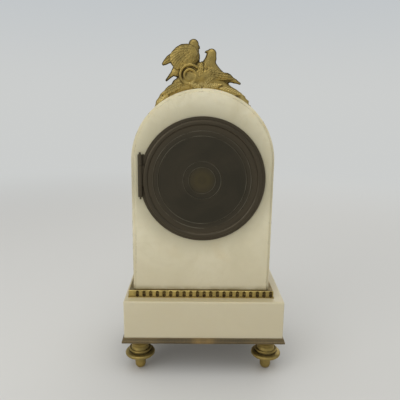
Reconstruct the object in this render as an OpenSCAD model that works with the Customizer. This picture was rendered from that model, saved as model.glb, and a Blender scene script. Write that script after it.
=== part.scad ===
// Arched mantel clock: alabaster case, gilt mounts, round eight-day movement
// with a lever platform.  Millimetres, +Z up, origin on the ground under the
// middle of the base.  The dial faces -Y and the rear door faces +Y.

/* [Case body] */
// Width of the arched body
body_w = 105; // [100:0.5:112]
// Depth of the body, front to back
body_depth = 60; // [56:0.5:68]
// Height of the spring line of the arch above the plinth
body_straight_h = 104.7; // [96:0.1:120]
// Rounding of the body's long edges
body_edge_r = 2; // [1:0.1:3]
// How far the body stands to one side of the plinth's middle
body_shift = 2.2; // [-2.5:0.1:2.5]
// How far the movement's centre lies below the centre of the arch
movement_drop = 13; // [11:0.1:16]

/* [Plinth] */
// Width of the plinth block
plinth_w = 122.2; // [120:0.1:135]
// Depth of the plinth block
plinth_depth = 82; // [78:0.5:92]
// Height of the plinth block
plinth_h = 30.2; // [24:0.1:40]
// Rounding of the plinth's edges
plinth_edge_r = 1; // [0.5:0.1:2]

/* [Base moulding] */
// Thickness of the sheet that carries the plinth
base_sheet_t = 1.6; // [1.2:0.1:2.4]
// How far the moulding's skirt hangs below the sheet
skirt_drop = 2.1; // [1.5:0.1:3]
// How far the skirt stands out from the plinth
skirt_flare = 1.65; // [1.2:0.05:2.5]
// How far the thin lip laps up the plinth
lip_h = 0.4; // [0.3:0.1:4]
// Thickness of the lip
lip_t = 0.5; // [0.3:0.05:0.9]

/* [Gilt frame round the body's foot] */
// How far the frame stands out from the body
frame_proud = 3.7; // [3:0.1:5]
// Height of the frame
frame_h = 5.7; // [5.2:0.1:8]
// Distance between the flutes
flute_pitch = 5.14; // [4.4:0.01:6.5]
// Radius of a flute
flute_r = 1.3; // [1:0.05:1.6]
// How far the rows of flutes sit to one side
flute_slip = 2.3; // [0:0.1:2.5]

/* [Feet] */
// Height of a foot, ground to the base sheet
foot_h = 29.4; // [26:0.1:34]
// Distance of a foot's axis from the outer edges of the base moulding
foot_inset = 12.6; // [12.1:0.1:16]
// Radius of the foot's widest ring
foot_ring_r = 11.65; // [10:0.05:12]
// Radius of the foot's toe
foot_toe_r = 4.15; // [3.5:0.05:5]

/* [Crest] */
// Distance of the crest's middle plane from the body's front face
crest_setback = 10.5; // [8:0.1:14]
// Depth of the crest's base
crest_depth = 12; // [9:0.1:15]
// Height of the crest above the top of the arch
crest_h = 39.4; // [34:0.1:44]
// Radius of the crest's stud
crest_stud_r = 1.7; // [1.4:0.05:2]

/* [Movement bore and rings] */
// Diameter of the bore through the body
bore_d = 86; // [85:0.1:88]
// How far a ring's flange laps over the body, beyond the bore
ring_reach = 3.15; // [2.8:0.05:4]
// Thickness of a ring's flange
ring_t = 1.2; // [1:0.05:1.6]
// Gap between the bore and a ring's sleeve
sleeve_clear = 0.3; // [0.1:0.05:0.6]
// Thickness of a ring's sleeve
sleeve_t = 1.2; // [0.8:0.05:1.3]
// Length of a ring's sleeve inside the bore
sleeve_len = 6; // [4:0.1:7]
// Width of the seats that the dial and the straps bear on
seat_w = 7.5; // [7:0.1:8]
// Thickness of those seats
seat_t = 1; // [0.8:0.05:1.4]

/* [Rear door] */
// How far the door's edge lies inside the ring's edge
door_step = 2.55; // [2.3:0.05:3.4]
// Height of the door's rim above the ring
door_rim_h = 2.6; // [2.2:0.1:3.4]
// Width of the door's raised rim
door_rim_w = 3.2; // [2.4:0.1:4]
// Thickness of the door's panel
door_panel_t = 0.9; // [0.6:0.05:1.2]

/* [Front bezel] */
// How far the bezel's edge lies inside the front ring's edge
bezel_step = 0.85; // [0.3:0.05:1.5]
// Width of the bezel
bezel_w = 7.7; // [7.4:0.1:8.6]
// Height of the bezel above the front ring
bezel_h = 4.6; // [4.2:0.1:5.2]
// Thickness of the glass
glass_t = 1.1; // [0.8:0.05:1.5]
// Rise of the glass at its middle
glass_dome = 4; // [3.6:0.1:5]

/* [Hinges] */
// Length of a hinge barrel
hinge_len = 31; // [24:0.5:36]
// Height of the middle of the hinges above the movement's centre
hinge_rise = 3; // [0:0.5:4]
// Radius of a hinge barrel
knuckle_r = 1.7; // [1.5:0.05:1.9]
// Radius of a hinge pin
pin_r = 0.7; // [0.5:0.05:0.9]
// How far a hinge pin stands out at each end
pin_end = 1.75; // [0.5:0.05:2.5]

/* [Dial and hands] */
// Gap between the dial's edge and the front ring's sleeve
dial_clear = 0.7; // [0.5:0.1:1.4]
// Thickness of the dial at its edge
dial_t = 0.9; // [0.7:0.05:1.1]
// Rise of the dial at its middle
dial_dome = 0.7; // [0.4:0.05:0.8]
// Length of the minute hand, centre to tip
minute_hand_len = 33; // [26:0.1:35]
// Length of the hour hand, centre to tip
hour_hand_len = 22.5; // [18:0.1:26]
// Clock-face angle of the minute hand at rest, clockwise from twelve
minute_rest_a = 54; // [0:1:359]
// Clock-face angle of the hour hand at rest, clockwise from twelve
hour_rest_a = 304.5; // [0:0.5:359.5]

/* [Movement frame] */
// Gap between the edge of a plate and the rings' sleeves
plate_clear = 2.5; // [2.4:0.1:3.4]
// Thickness of the plates
plate_t = 1.8; // [1.4:0.1:2.2]
// Distance between the plates
plate_gap = 22; // [21.8:0.1:24]
// Room between the dial's seat and the front plate
motion_room = 6; // [5.8:0.1:7]
// Radius of a pillar
pillar_r = 2.2; // [1.8:0.1:2.6]
// Distance of a pillar's axis from the edge of the plates
pillar_inset = 4.5; // [3.6:0.1:5]
// Width of a strap
strap_w = 10; // [8:0.1:10]
// Thickness of a strap
strap_t = 1.4; // [1:0.1:1.4]

/* [Going train] */
// Module of the great wheel
great_m = 0.4; // [0.39:0.005:0.405]
// Module of the intermediate wheel
inter_m = 0.36; // [0.355:0.005:0.37]
// Module of the centre wheel
centre_m = 0.33; // [0.32:0.005:0.335]
// Module of the third wheel
third_m = 0.3; // [0.29:0.005:0.305]
// Module of the fourth wheel
fourth_m = 0.26; // [0.25:0.005:0.265]
// Module of the cannon pinion and the minute wheel
motion_m = 0.4; // [0.38:0.01:0.42]
// Distance of the barrel's arbor below the centre arbor
barrel_drop = 18.6; // [18.4:0.1:18.9]
// Radius of the barrel drum
drum_r = 16; // [15:0.1:16]
// Height of the barrel drum
drum_h = 11.2; // [10:0.1:11.6]
// Wall of the barrel drum
drum_wall = 1.2; // [0.9:0.05:1.5]
// Coils of the mainspring that lie against the drum
mainspring_turns = 5; // [3:1:6]

/* [Platform and balance] */
// Thickness of the platform
platform_t = 1.2; // [1:0.1:1.4]
// Radius of the escape wheel over its teeth
escape_r = 4; // [3.6:0.1:4.2]
// Radius of the balance wheel
balance_r = 7.5; // [6.5:0.1:7.6]
// Turns of the hairspring
hairspring_turns = 6; // [3:1:8]
// Width of the regulator's pointer
pointer_w = 0.9; // [0.6:0.05:1.2]

/* [Hidden] */
$fn = 64;
SMALL = 0.02;       // clearance of pieces that are pressed together
RUN = 0.05;         // radial clearance of a pivot in its hole
SEAT = 0.05;        // gap between pieces that are clamped face to face
CUT = 1;            // how far a cut runs past the face it opens
HEXAGON = 6;        // sides of a nut

// tooth counts, each wheel with the pinion that it drives
great_n = 84;
inter_pinion_n = 12;
inter_n = 72;
centre_pinion_n = 12;
centre_n = 80;
third_pinion_n = 10;
third_n = 75;
fourth_pinion_n = 10;
fourth_n = 70;
escape_pinion_n = 7;
escape_n = 15;
cannon_n = 12;
minute_n = 36;
minute_pinion_n = 10;
hour_n = 40;
ratchet_n = 24;

// levels of the case above the ground
plate_z = foot_h;
marble_z = plate_z + base_sheet_t;
plinth_top_z = marble_z + plinth_h;
spring_z = plinth_top_z + body_straight_h;
arch_r = body_w / 2;
apex_z = spring_z + arch_r;
movement_z = spring_z - movement_drop;
bore_r = bore_d / 2;
moulding_half_w = plinth_w / 2 + skirt_flare;
moulding_half_d = plinth_depth / 2 + skirt_flare;
foot_x = moulding_half_w - foot_inset;
foot_y = moulding_half_d - foot_inset;

// rings and what they hold, as distances from the body's middle plane
front_y = -body_depth / 2;
rear_y = body_depth / 2;
ring_r = bore_r + ring_reach;
sleeve_r = bore_r - sleeve_clear;
sleeve_in_r = sleeve_r - sleeve_t;
seat_r = sleeve_in_r - seat_w;
door_r = ring_r - door_step;
bezel_r = ring_r - bezel_step;
bezel_sight_r = bezel_r - bezel_w;
dial_r = sleeve_in_r - dial_clear;
plate_r = sleeve_in_r - plate_clear;
pillar_place_r = plate_r - pillar_inset;
dial_recess = 0.8;
dial_seat_y = front_y + dial_recess;
front_plate_y = dial_seat_y + seat_t + motion_room;
back_plate_y = front_plate_y + plate_t + plate_gap;

// depths in the movement's own frame, counted forward from the back plate's
// inner face; depths behind it are negative
function depth(y) = back_plate_y - y;
front_plate_in = plate_gap;
front_plate_out = plate_gap + plate_t;
seat_back = depth(dial_seat_y + seat_t);
seat_front = depth(dial_seat_y);
ring_face = depth(front_y - ring_t);
back_plate_out = -plate_t;
rear_seat_back = depth(rear_y - ring_t);
rear_seat_front = rear_seat_back + seat_t + 0.2;
rear_ring_face = depth(rear_y + ring_t);

// turned lines on the door's panel
door_line_r = [door_r - 7.6, door_r - 11.2, 0.32 * door_r, 0.225 * door_r];
door_line_w = 0.3;
door_lip_gap = 0.35;  // room between the door's lip and the ring's sleeve
door_lip_t = 1;

// hinges
rear_hinge_x = door_r + knuckle_r + 0.2;
front_hinge_x = bezel_r + knuckle_r + 0.2;
hinge_stand = knuckle_r + SEAT;
hinge_gap = 0.25;

// arbors on the plates: x to the right seen from the front, y up
centre_at = [0, 0];
barrel_at = [0, -barrel_drop];
great_reach = (great_n + inter_pinion_n) * great_m / 2;
inter_reach = (inter_n + centre_pinion_n) * inter_m / 2;
third_reach = (centre_n + third_pinion_n) * centre_m / 2;
fourth_reach = (third_n + fourth_pinion_n) * third_m / 2;
escape_reach = (fourth_n + escape_pinion_n) * fourth_m / 2;
motion_reach = (cannon_n + minute_n) * motion_m / 2;
hour_m = 2 * motion_reach / (minute_pinion_n + hour_n);
inter_y = (great_reach ^ 2 - inter_reach ^ 2 - barrel_drop ^ 2) / (2 * barrel_drop);
inter_at = [sqrt(inter_reach ^ 2 - inter_y ^ 2), inter_y];
third_at = third_reach * [cos(140), sin(140)];
fourth_at = [0, third_at.y + sqrt(fourth_reach ^ 2 - third_at.x ^ 2)];
escape_at = fourth_at + escape_reach * [cos(20), sin(20)];
minute_at = motion_reach * [cos(60), sin(60)];
lever_dir = [cos(167.5), sin(167.5)];
lever_at = escape_at + (escape_r + 0.75) * lever_dir;
balance_at = escape_at + (escape_r + 9.8) * lever_dir;

// levels of the train, in the movement's frame
great_z = 1.2;
great_t = 1.6;
drum_z = great_z + great_t;
cap_z = drum_z + drum_h;
cap_t = 1;
inter_wheel_z = cap_z + cap_t + 0.8;
inter_wheel_t = 0.9;
centre_wheel_z = inter_wheel_z + inter_wheel_t + 1.2;
centre_wheel_t = 0.8;
third_wheel_z = great_z + great_t + 0.5;
third_wheel_t = 0.7;
fourth_wheel_z = 1;
fourth_wheel_t = 0.7;
pinion_side = 0.3;  // how far a pinion stands out past each face of its wheel

// radii of arbors and their pivots
inter_arbor_r = 0.9;
centre_arbor_r = 1.2;
third_arbor_r = 0.8;
fourth_arbor_r = 0.7;
escape_arbor_r = 0.4;
pivot_r = 0.45;
escape_pivot_r = 0.3;
pivot_end = 0.4;    // how far a pivot stops short of the plate's outer face
barrel_pivot_r = 2.2;
barrel_rear_r = 1.5;
barrel_shaft_r = 2.5;
winding_square = 3.2;
shake = 0.1;        // end play of an arbor at each plate

// motion work, in front of the front plate
cannon_z = front_plate_out + 0.9;
cannon_leaf_h = 1.3;
minute_wheel_z = cannon_z + 0.2;
minute_wheel_t = 0.7;
minute_pinion_h = 1.5;
hour_wheel_z = minute_wheel_z + minute_wheel_t + 0.45;
hour_wheel_t = 0.7;
cannon_pipe_r = 1.75;
hour_pipe_r = 2.5;
dial_front = seat_front + SMALL + dial_t + dial_dome;
hour_hand_z = dial_front + 0.5;
hand_t = 0.4;
minute_hand_z = hour_hand_z + hand_t + 0.7;
collet_h = 1;

// platform, behind the back plate
platform_z = back_plate_out - platform_t;
escape_wheel_t = 0.4;
escape_wheel_z = platform_z - 1.2 - escape_wheel_t;
lever_t = 0.7;
lever_z = escape_wheel_z - 0.15;
escape_cock_z = lever_z - 1.2;
escape_cock_t = 0.8;
balance_t = 1;
balance_z = platform_z - 3.4;
hairspring_t = 0.4;
hairspring_z = balance_z - 0.9;
balance_cock_t = 1.1;
balance_cock_z = hairspring_z - 0.9 - balance_cock_t;
regulator_t = 0.45;
regulator_z = balance_cock_z - SEAT - regulator_t;
cock_room = 3.9;      // how far the balance cock's foot stands off the balance
bridge_room = 3.3;    // how far the escape cock's foot stands off the escape wheel
balance_foot_at = balance_at + (balance_r + cock_room) * [cos(174), sin(174)];
escape_foot_at = escape_at + (escape_r + bridge_room) * [cos(80.5), sin(80.5)];
platform_left = balance_foot_at.x - 3.4;
platform_right = escape_at.x + escape_r + 2.2;
platform_low = escape_at.y - escape_r;
platform_high = escape_foot_at.y + 2.6;

// screws of the movement
screw_r = 0.8;
screw_head_r = 1.5;
screw_head_h = 0.8;
screw_short = 0.3;  // how far a screw's end stops short of its hole's end
slot_w = 0.4;
slot_deep = 0.35;
strap_screw_r = 1.2;
strap_screw_head_r = 2.2;
strap_screw_head_h = 1.1;
strap_screw_len = 2.3;
strap_screw_inset = 3.7;  // from the strap's outer face
strap_out_x = sqrt((sleeve_in_r - 0.08) ^ 2 - (strap_w / 2) ^ 2);
strap_screw_x = strap_out_x - strap_screw_inset;
strap_foot = 6.5;

pillar_angles = [45, 135, 225, 315];
pillar_foot_r = 1.4;  // the end that stands in the back plate
pillar_neck_r = 1.5;  // the end that passes through the front plate
dial_foot_angles = [60, 120, 240, 300];
dial_foot_place_r = plate_r - 3.4;
dial_foot_r = 1.4;
taper_pin_r = 0.4;
taper_pin_len = 7;
pillar_pin_z = front_plate_out + taper_pin_r + 0.1;
dial_foot_pin_z = front_plate_in - taper_pin_r - 0.1;

// bench hardware of the case
tie_rod_r = 2.2;
tie_washer_r = 5;
tie_washer_t = 0.8;
tie_nut_r = 4.2;
tie_nut_h = 2.2;
tie_top_z = movement_z - bore_r + 0.35;
foot_stud_r = 1.75;
foot_nut_r = 3.7;
foot_nut_h = 2.4;
crest_y = front_y + crest_setback;
crest_nut_r = 3.2;
crest_nut_h = 2.2;
crest_nut_top_z = movement_z + bore_r - 0.2;
crest_stud_deep = 6;
crest_unit = crest_h / 39.4;  // the crest's points are listed at this height

// click work on the front plate
ratchet_r = 6.5;
ratchet_z = front_plate_out + 0.2;
ratchet_t = 1.4;
bridge_z = ratchet_z + ratchet_t + 0.2;
bridge_t = 1;
bridge_half = 9.6;
click_at = barrel_at + [7.4, -8.2];
click_tip_gap = 0.15;
click_tip_a = -84;
click_spring_at = barrel_at + [-9.2, -10.6];
click_spring_w = 0.7;

// -------------------- helpers

// Places children in the movement's frame: x right, y up, z forward.
module at_movement() {
    translate([body_shift, back_plate_y, movement_z]) rotate([90, 0, 0]) children();
}

// A place on the plates, at a depth.
module on_plate(at, z = 0) {
    translate([at.x, at.y, z]) children();
}

// A through hole in something h thick that stands on z = 0.
module drill(h, r, facets = 32) {
    translate([0, 0, -CUT]) cylinder(h = h + 2 * CUT, r = r, $fn = facets);
}

module tube(r_out, r_in, h) {
    difference() {
        cylinder(h = h, r = r_out);
        drill(h, r_in, 64);
    }
}

// A hexagonal nut.
module nut(r, h, bore) {
    difference() {
        cylinder(h = h, r = r, $fn = HEXAGON);
        drill(h, bore);
    }
}

// A box with every upper and upright edge rounded, flat underneath.
module soft_block(w, d, h, r) {
    x = w / 2 - r;
    y = d / 2 - r;
    translate([-w / 2, -y, 0]) cube([w, 2 * y, h - r]);
    translate([-x, -d / 2, 0]) cube([2 * x, d, h - r]);
    translate([-x, -y, 0]) cube([2 * x, 2 * y, h]);
    for (sx = [-1, 1], sy = [-1, 1]) {
        translate([sx * x, sy * y, 0]) cylinder(h = h - r, r = r, $fn = 32);
        translate([sx * x, sy * y, h - r]) sphere(r = r, $fn = 32);
    }
    for (sy = [-1, 1])
        translate([-x, sy * y, h - r]) rotate([0, 90, 0]) cylinder(h = 2 * x, r = r, $fn = 32);
    for (sx = [-1, 1])
        translate([sx * x, -y, h - r]) rotate([-90, 0, 0]) cylinder(h = 2 * y, r = r, $fn = 32);
}

// The solid whose front and side outlines both follow one moulding profile,
// which gives mitred corners.  The profile lists [stand-out, height] points.
module mitred(half_w, half_d, profile) {
    intersection() {
        rotate([90, 0, 0]) linear_extrude(3 * half_d, center = true)
            mirrored_outline(half_w, profile);
        rotate([90, 0, 90]) linear_extrude(3 * half_w, center = true)
            mirrored_outline(half_d, profile);
    }
}

module mirrored_outline(half, profile) {
    n = len(profile);
    polygon(concat(
        [for (p = profile) [half + p.x, p.y]],
        [for (i = [0:n - 1]) [-half - profile[n - 1 - i].x, profile[n - 1 - i].y]]
    ));
}

// -------------------- wheel cutting

function polar(r, a) = [r * cos(a), r * sin(a)];

// One tooth: radial flanks up to the pitch circle, then an ogive point.
function tooth_points(pitch_r, root_r, tip_r, half_a, at_a) = [
    polar(root_r, at_a - half_a),
    polar(pitch_r, at_a - half_a),
    polar(pitch_r + 0.6 * (tip_r - pitch_r), at_a - 0.6 * half_a),
    polar(tip_r, at_a),
    polar(pitch_r + 0.6 * (tip_r - pitch_r), at_a + 0.6 * half_a),
    polar(pitch_r, at_a + half_a),
    polar(root_r, at_a + half_a)
];

// Outline of n teeth.  The widths and heights are in modules.
function cut_teeth(n, m, width, addendum, dedendum) =
    let (pitch_r = n * m / 2, half_a = width * m / pitch_r * 90 / PI)
    [for (i = [0:n - 1])
        each tooth_points(pitch_r, pitch_r - dedendum * m, pitch_r + addendum * m,
                          half_a, 360 / n * i)];

WHEEL_WIDTH = 1.5;
WHEEL_ADDENDUM = 1.25;
WHEEL_DEDENDUM = 1.3;
LEAF_WIDTH = 1.15;
LEAF_ADDENDUM = 0.7;
LEAF_DEDENDUM = 1.6;

// Tip radius of a wheel.
function wheel_tip_r(n, m) = (n / 2 + WHEEL_ADDENDUM) * m;

// A crossed-out wheel with a tooth pointing along tooth_a.
module train_wheel(n, m, t, bore, tooth_a, arms = 5) {
    rim_r = (n / 2 - WHEEL_DEDENDUM) * m - 1.1;
    hub_r = bore + 1.5;
    arm_w = 1.1;
    linear_extrude(t) difference() {
        rotate(tooth_a)
            polygon(cut_teeth(n, m, WHEEL_WIDTH, WHEEL_ADDENDUM, WHEEL_DEDENDUM));
        difference() {
            circle(r = rim_r);
            circle(r = hub_r, $fn = 32);
            for (i = [0:arms - 1])
                rotate(tooth_a + 360 / arms * i)
                    translate([0, -arm_w / 2]) square([rim_r + 1, arm_w]);
        }
        circle(r = bore, $fn = 32);
    }
}

// A pinion with a gap facing gap_a.
module leaves(n, m, h, gap_a, bore = 0) {
    width = n < 10 ? LEAF_WIDTH - 0.15 : LEAF_WIDTH;
    linear_extrude(h) difference() {
        rotate(gap_a + 180 / n)
            polygon(cut_teeth(n, m, width, LEAF_ADDENDUM, LEAF_DEDENDUM));
        if (bore > 0) circle(r = bore, $fn = 32);
    }
}

// Direction from one arbor to another.
function heading(from, to) = atan2(to.y - from.y, to.x - from.x);

// An arbor between the plates, with a pivot at each end.
module plain_arbor(r, pivot = pivot_r) {
    translate([0, 0, -plate_t + pivot_end])
        cylinder(h = plate_gap + 2 * plate_t - 2 * pivot_end, r = pivot, $fn = 32);
    translate([0, 0, shake]) cylinder(h = plate_gap - 2 * shake, r = r, $fn = 32);
}

// -------------------- case

// The arched outline, standing on z = 0 and shrunk by inset all round.
module arch_outline(inset) {
    w = body_w - 2 * inset;
    translate([-w / 2, 0]) square([w, body_straight_h]);
    translate([0, body_straight_h]) circle(r = w / 2, $fn = 96);
}

module arch_slab(inset, depth_y) {
    translate([0, depth_y / 2, 0]) rotate([90, 0, 0])
        linear_extrude(depth_y) arch_outline(inset);
}

module arch_block() {
    r = body_edge_r;
    arch_slab(r, body_depth);
    arch_slab(0, body_depth - 2 * r);
    for (sy = [-1, 1]) {
        translate([0, sy * (body_depth / 2 - r), body_straight_h]) rotate([90, 0, 0])
            rotate_extrude($fn = 96) translate([arch_r - r, 0]) circle(r = r, $fn = 32);
        for (sx = [-1, 1])
            translate([sx * (arch_r - r), sy * (body_depth / 2 - r), 0])
                cylinder(h = body_straight_h, r = r, $fn = 32);
    }
}

module case_body() {
    color("ivory") translate([body_shift, 0, 0]) difference() {
        translate([0, 0, plinth_top_z]) arch_block();
        translate([0, 0, movement_z]) rotate([90, 0, 0])
            cylinder(h = body_depth + 2 * CUT, r = bore_r, center = true, $fn = 96);
        translate([0, 0, plinth_top_z]) drill(body_straight_h - movement_drop, tie_rod_r + 0.4);
        translate([0, crest_y, movement_z])
            cylinder(h = apex_z, r = crest_stud_r + 0.3, $fn = 32);
    }
}

module at_feet() {
    for (sx = [-1, 1], sy = [-1, 1]) translate([sx * foot_x, sy * foot_y, 0]) children();
}

module plinth() {
    color("ivory") difference() {
        translate([0, 0, marble_z]) soft_block(plinth_w, plinth_depth, plinth_h, plinth_edge_r);
        translate([body_shift, 0, marble_z]) drill(plinth_h, tie_rod_r + 0.4);
        at_feet() translate([0, 0, marble_z - CUT])
            cylinder(h = foot_nut_h + 3 + CUT, r = foot_nut_r + 1, $fn = 32);
    }
}

module base_moulding() {
    bottom = plate_z - skirt_drop;
    edge = 1.4;  // height of the square lower edge
    profile = [
        [skirt_flare, bottom],
        [skirt_flare, bottom + edge],
        [skirt_flare - 0.4, bottom + edge + 0.2],
        [skirt_flare - 0.75, bottom + edge + 0.9],
        [lip_t + 0.15, marble_z],
        [lip_t, marble_z + lip_h / 3],
        [lip_t, marble_z + lip_h]
    ];
    w = plinth_w + 2 * SEAT;
    d = plinth_depth + 2 * SEAT;
    color("darkgoldenrod") difference() {
        mitred(plinth_w / 2, plinth_depth / 2, profile);
        translate([-w / 2, -d / 2, marble_z]) cube([w, d, lip_h + CUT]);
        translate([-w / 2, -d / 2, bottom - CUT]) cube([w, d, skirt_drop + CUT]);
        translate([body_shift, 0, plate_z]) drill(base_sheet_t, tie_rod_r + 0.2);
        at_feet() translate([0, 0, plate_z]) drill(base_sheet_t, foot_stud_r + 0.1);
    }
}

module flute() {
    rail = 0.35;  // plain metal above and below a flute
    lift = frame_h / 2 + 0.15;
    reach = frame_h / 2 - rail - flute_r;
    translate([0, 0, lift - reach]) cylinder(h = 2 * reach, r = flute_r, $fn = 16);
    for (s = [-1, 1]) translate([0, 0, lift + s * reach]) sphere(r = flute_r, $fn = 16);
}

// Flutes along one side, as a strip cut to length.
module flute_row(side) {
    n = floor((side - 7.5) / flute_pitch) + 1;
    for (i = [0:n - 1])
        translate([(i - (n - 1) / 2) * flute_pitch - flute_slip, 0, 0]) flute();
}

module foot_frame() {
    face = frame_proud - 0.4;
    half_w = arch_r;
    half_d = body_depth / 2;
    profile = [
        [frame_proud, 0],
        [frame_proud, 0.8],
        [face, 1],
        [face, frame_h - 0.5],
        [face - 0.5, frame_h]
    ];
    color("goldenrod") translate([body_shift, 0, plinth_top_z]) difference() {
        mitred(half_w, half_d, profile);
        w = body_w + 0.2;
        d = body_depth + 0.2;
        translate([-w / 2, -d / 2, -CUT]) cube([w, d, frame_h + 2 * CUT]);
        for (s = [0, 180]) rotate(s) {
            translate([0, half_d + face + 0.1, 0]) flute_row(body_w + 2 * face);
            translate([half_w + face + 0.1, 0, 0]) rotate(90)
                flute_row(body_depth + 2 * face);
        }
    }
}

// Turned foot: round toe, stem, wide ring, small ring and a flaring cup.
module turned_foot() {
    toe_z = foot_toe_r - 0.25;
    ring_z = 13.5;
    ring_h = 1.45;
    small_z = 17.1;
    small_r = foot_ring_r - 2.85;
    cup_r = foot_ring_r - 1;
    rotate_extrude() intersection() {
        square([foot_ring_r + 1, foot_h]);
        union() {
            translate([0, toe_z]) circle(r = foot_toe_r, $fn = 48);
            translate([0, toe_z]) square([foot_toe_r, ring_z - toe_z]);
            polygon([
                [0, 9.2], [foot_toe_r, 9.4], [foot_toe_r + 2.2, 10.1],
                [foot_ring_r - 3, 11.2], [foot_ring_r - ring_h, ring_z - ring_h],
                [foot_ring_r - ring_h, ring_z + ring_h], [small_r - 1, ring_z + 1.8],
                [small_r - 1.3, small_z - 0.85], [small_r - 1, small_z],
                [small_r - 1.7, small_z + 0.85], [small_r - 2.4, small_z + 2.6],
                [small_r - 1.9, small_z + 5.4], [small_r + 0.1, small_z + 8.4],
                [cup_r - 0.5, foot_h - 1.6], [cup_r, foot_h - 1.2], [cup_r, foot_h],
                [0, foot_h]
            ]);
            translate([foot_ring_r - ring_h, ring_z]) circle(r = ring_h, $fn = 32);
            translate([small_r - 0.85, small_z]) circle(r = 0.85, $fn = 32);
        }
    }
    translate([0, 0, foot_h - 1])
        cylinder(h = base_sheet_t + foot_nut_h + 2.4, r = foot_stud_r, $fn = 32);
}

module foot(sx, sy) {
    color("goldenrod") translate([sx * foot_x, sy * foot_y, 0]) turned_foot();
}

module foot_nuts() {
    color("peru") at_feet() translate([0, 0, marble_z + SEAT])
        nut(foot_nut_r, foot_nut_h, foot_stud_r + SMALL);
}

tie_low_z = plate_z - SEAT - tie_washer_t;
tie_high_z = tie_top_z + tie_washer_t;

module tie_rod() {
    end = 0.4;
    low = tie_low_z - tie_nut_h - SEAT - end;
    color("dimgray") translate([body_shift, 0, low])
        cylinder(h = tie_high_z + SEAT + tie_nut_h + end - low, r = tie_rod_r, $fn = 32);
}

module tie_rod_nuts() {
    color("dimgray") for (z = [tie_low_z - SEAT - tie_nut_h, tie_high_z + SEAT])
        translate([body_shift, 0, z]) nut(tie_nut_r, tie_nut_h, tie_rod_r + SMALL);
}

module tie_rod_washers() {
    color("silver") for (z = [tie_low_z, tie_top_z])
        translate([body_shift, 0, z]) tube(tie_washer_r, tie_rod_r + 0.2, tie_washer_t);
}

// -------------------- crest

// The crest's points are [x, height, radius] and, where they stand off the
// middle plane, the distance behind that plane.
function sized(balls) = [for (b = balls) crest_unit * b];

// A run of balls joined one to the next.
module chain(balls) {
    for (i = [1:len(balls) - 1])
        hull() for (b = [balls[i - 1], balls[i]])
            translate([b.x, len(b) > 3 ? b[3] : 0, b.y]) sphere(r = b.z, $fn = 16);
}

// The alighting dove: head bent to its mate, near wing folded, far wing and
// tail spread behind it.
module alighting_dove() {
    chain(sized([[7.2, 35.2, 4.2], [7.4, 30.5, 5.4], [9.8, 25.4, 8.6], [15.5, 21.5, 7.6],
                 [21.6, 15.2, 3.8], [28.8, 8.7, 1.3]]));
    chain(sized([[4.6, 34.3, 1.6], [2.5, 32.7, 0.5]]));
    chain(sized([[8, 27.5, 4.6, 4], [15.5, 29.5, 5.4, 2.6], [20.5, 27.6, 4.8, 2.6],
                 [23.4, 21.8, 2.6, 3]]));
    chain(sized([[20.5, 27.6, 4, -4], [26.4, 24.6, 2.8, -5], [32.3, 20.7, 0.8, -5.6]]));
}

// The resting dove: breast full, wings folded along its back, beak raised.
module resting_dove() {
    chain(sized([[-6.7, 28.8, 4], [-6.2, 24.3, 4.6], [-4.6, 19.4, 6], [-8.8, 13.6, 5.8],
                 [-16, 9.8, 4.8], [-22.8, 9, 3.2], [-29.9, 5.6, 1.1]]));
    chain(sized([[-3.6, 30, 1.4], [-1.8, 30.4, 0.5]]));
    chain(sized([[-8, 17, 3.6, 4.5], [-15.5, 13, 3, 4.5], [-24.6, 9.4, 1.2, 4]]));
}

// A ball on the arch, at an angle from the top and a height above the stone.
function on_arch(a, lift, r, behind = 0) = [
    (arch_r + crest_unit * lift) * sin(a),
    (arch_r + crest_unit * lift) * cos(a) - arch_r,
    crest_unit * r,
    crest_unit * behind
];

// Foliage along the arch, as [angle, height above the stone, radius].
module garland() {
    runs = [[46, 1.2, 1.2], [40, 2.8, 2.8], [34, 4, 3.7], [26, 5, 5], [16, 6, 6.6], [3, 5, 6.4],
            [-10, 4, 6], [-19, 3.4, 4.6], [-27, 3, 3.8], [-35, 2.9, 3.2], [-41, 2.2, 2.2]];
    chain([for (p = runs) on_arch(p[0], p[1], p[2])]);
    for (a = [-43, -48.6]) chain([on_arch(a + 6, 1, 1.8), on_arch(a - 1, 3, 0.7, -2)]);
}

// The heaped leaves under the doves, which fill the space between them.
module mound() {
    chain(sized([[19.6, 3.6, 4.2], [13, 7, 7.6], [5, 10.5, 8.2], [1.5, 16.8, 4.8],
                 [-1.5, 13, 7], [-6.5, 7.5, 8], [-15.5, 3.5, 5.8]]));
}

// Scroll between the doves: a disc with two raised coils on both faces.
module volute() {
    half = crest_depth / 2 - 0.7;
    rims = crest_unit * [[6.8, 0.9], [3.3, 0.8]];
    translate(crest_unit * [11.4, 0, 11.4]) rotate([90, 0, 0]) {
        cylinder(h = 2 * half, r = crest_unit * 7.5, center = true, $fn = 32);
        for (s = [-1, 1], rim = rims)
            translate([0, 0, s * half]) rotate_extrude($fn = 24)
                translate([rim.x, 0]) circle(r = rim.y, $fn = 8);
    }
}

module crest() {
    color("goldenrod") translate([body_shift, crest_y, apex_z]) difference() {
        union() {
            garland();
            volute();
            scale([1, crest_depth / (18 * crest_unit), 1]) {
                mound();
                alighting_dove();
                resting_dove();
            }
        }
        translate([0, 0, -arch_r]) rotate([90, 0, 0])
            cylinder(h = 4 * crest_depth, r = arch_r + SEAT, center = true, $fn = 96);
        translate([0, 0, -CUT])
            cylinder(h = crest_stud_deep + CUT + 0.2, r = crest_stud_r + SMALL, $fn = 32);
    }
}

module crest_stud() {
    low = crest_nut_top_z - crest_nut_h - 1;
    color("peru") translate([body_shift, crest_y, low])
        cylinder(h = apex_z + crest_stud_deep - low, r = crest_stud_r, $fn = 32);
}

module crest_nut() {
    color("peru") translate([body_shift, crest_y, crest_nut_top_z - crest_nut_h])
        nut(crest_nut_r, crest_nut_h, crest_stud_r + SMALL);
}

// -------------------- hinges and rings

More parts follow.
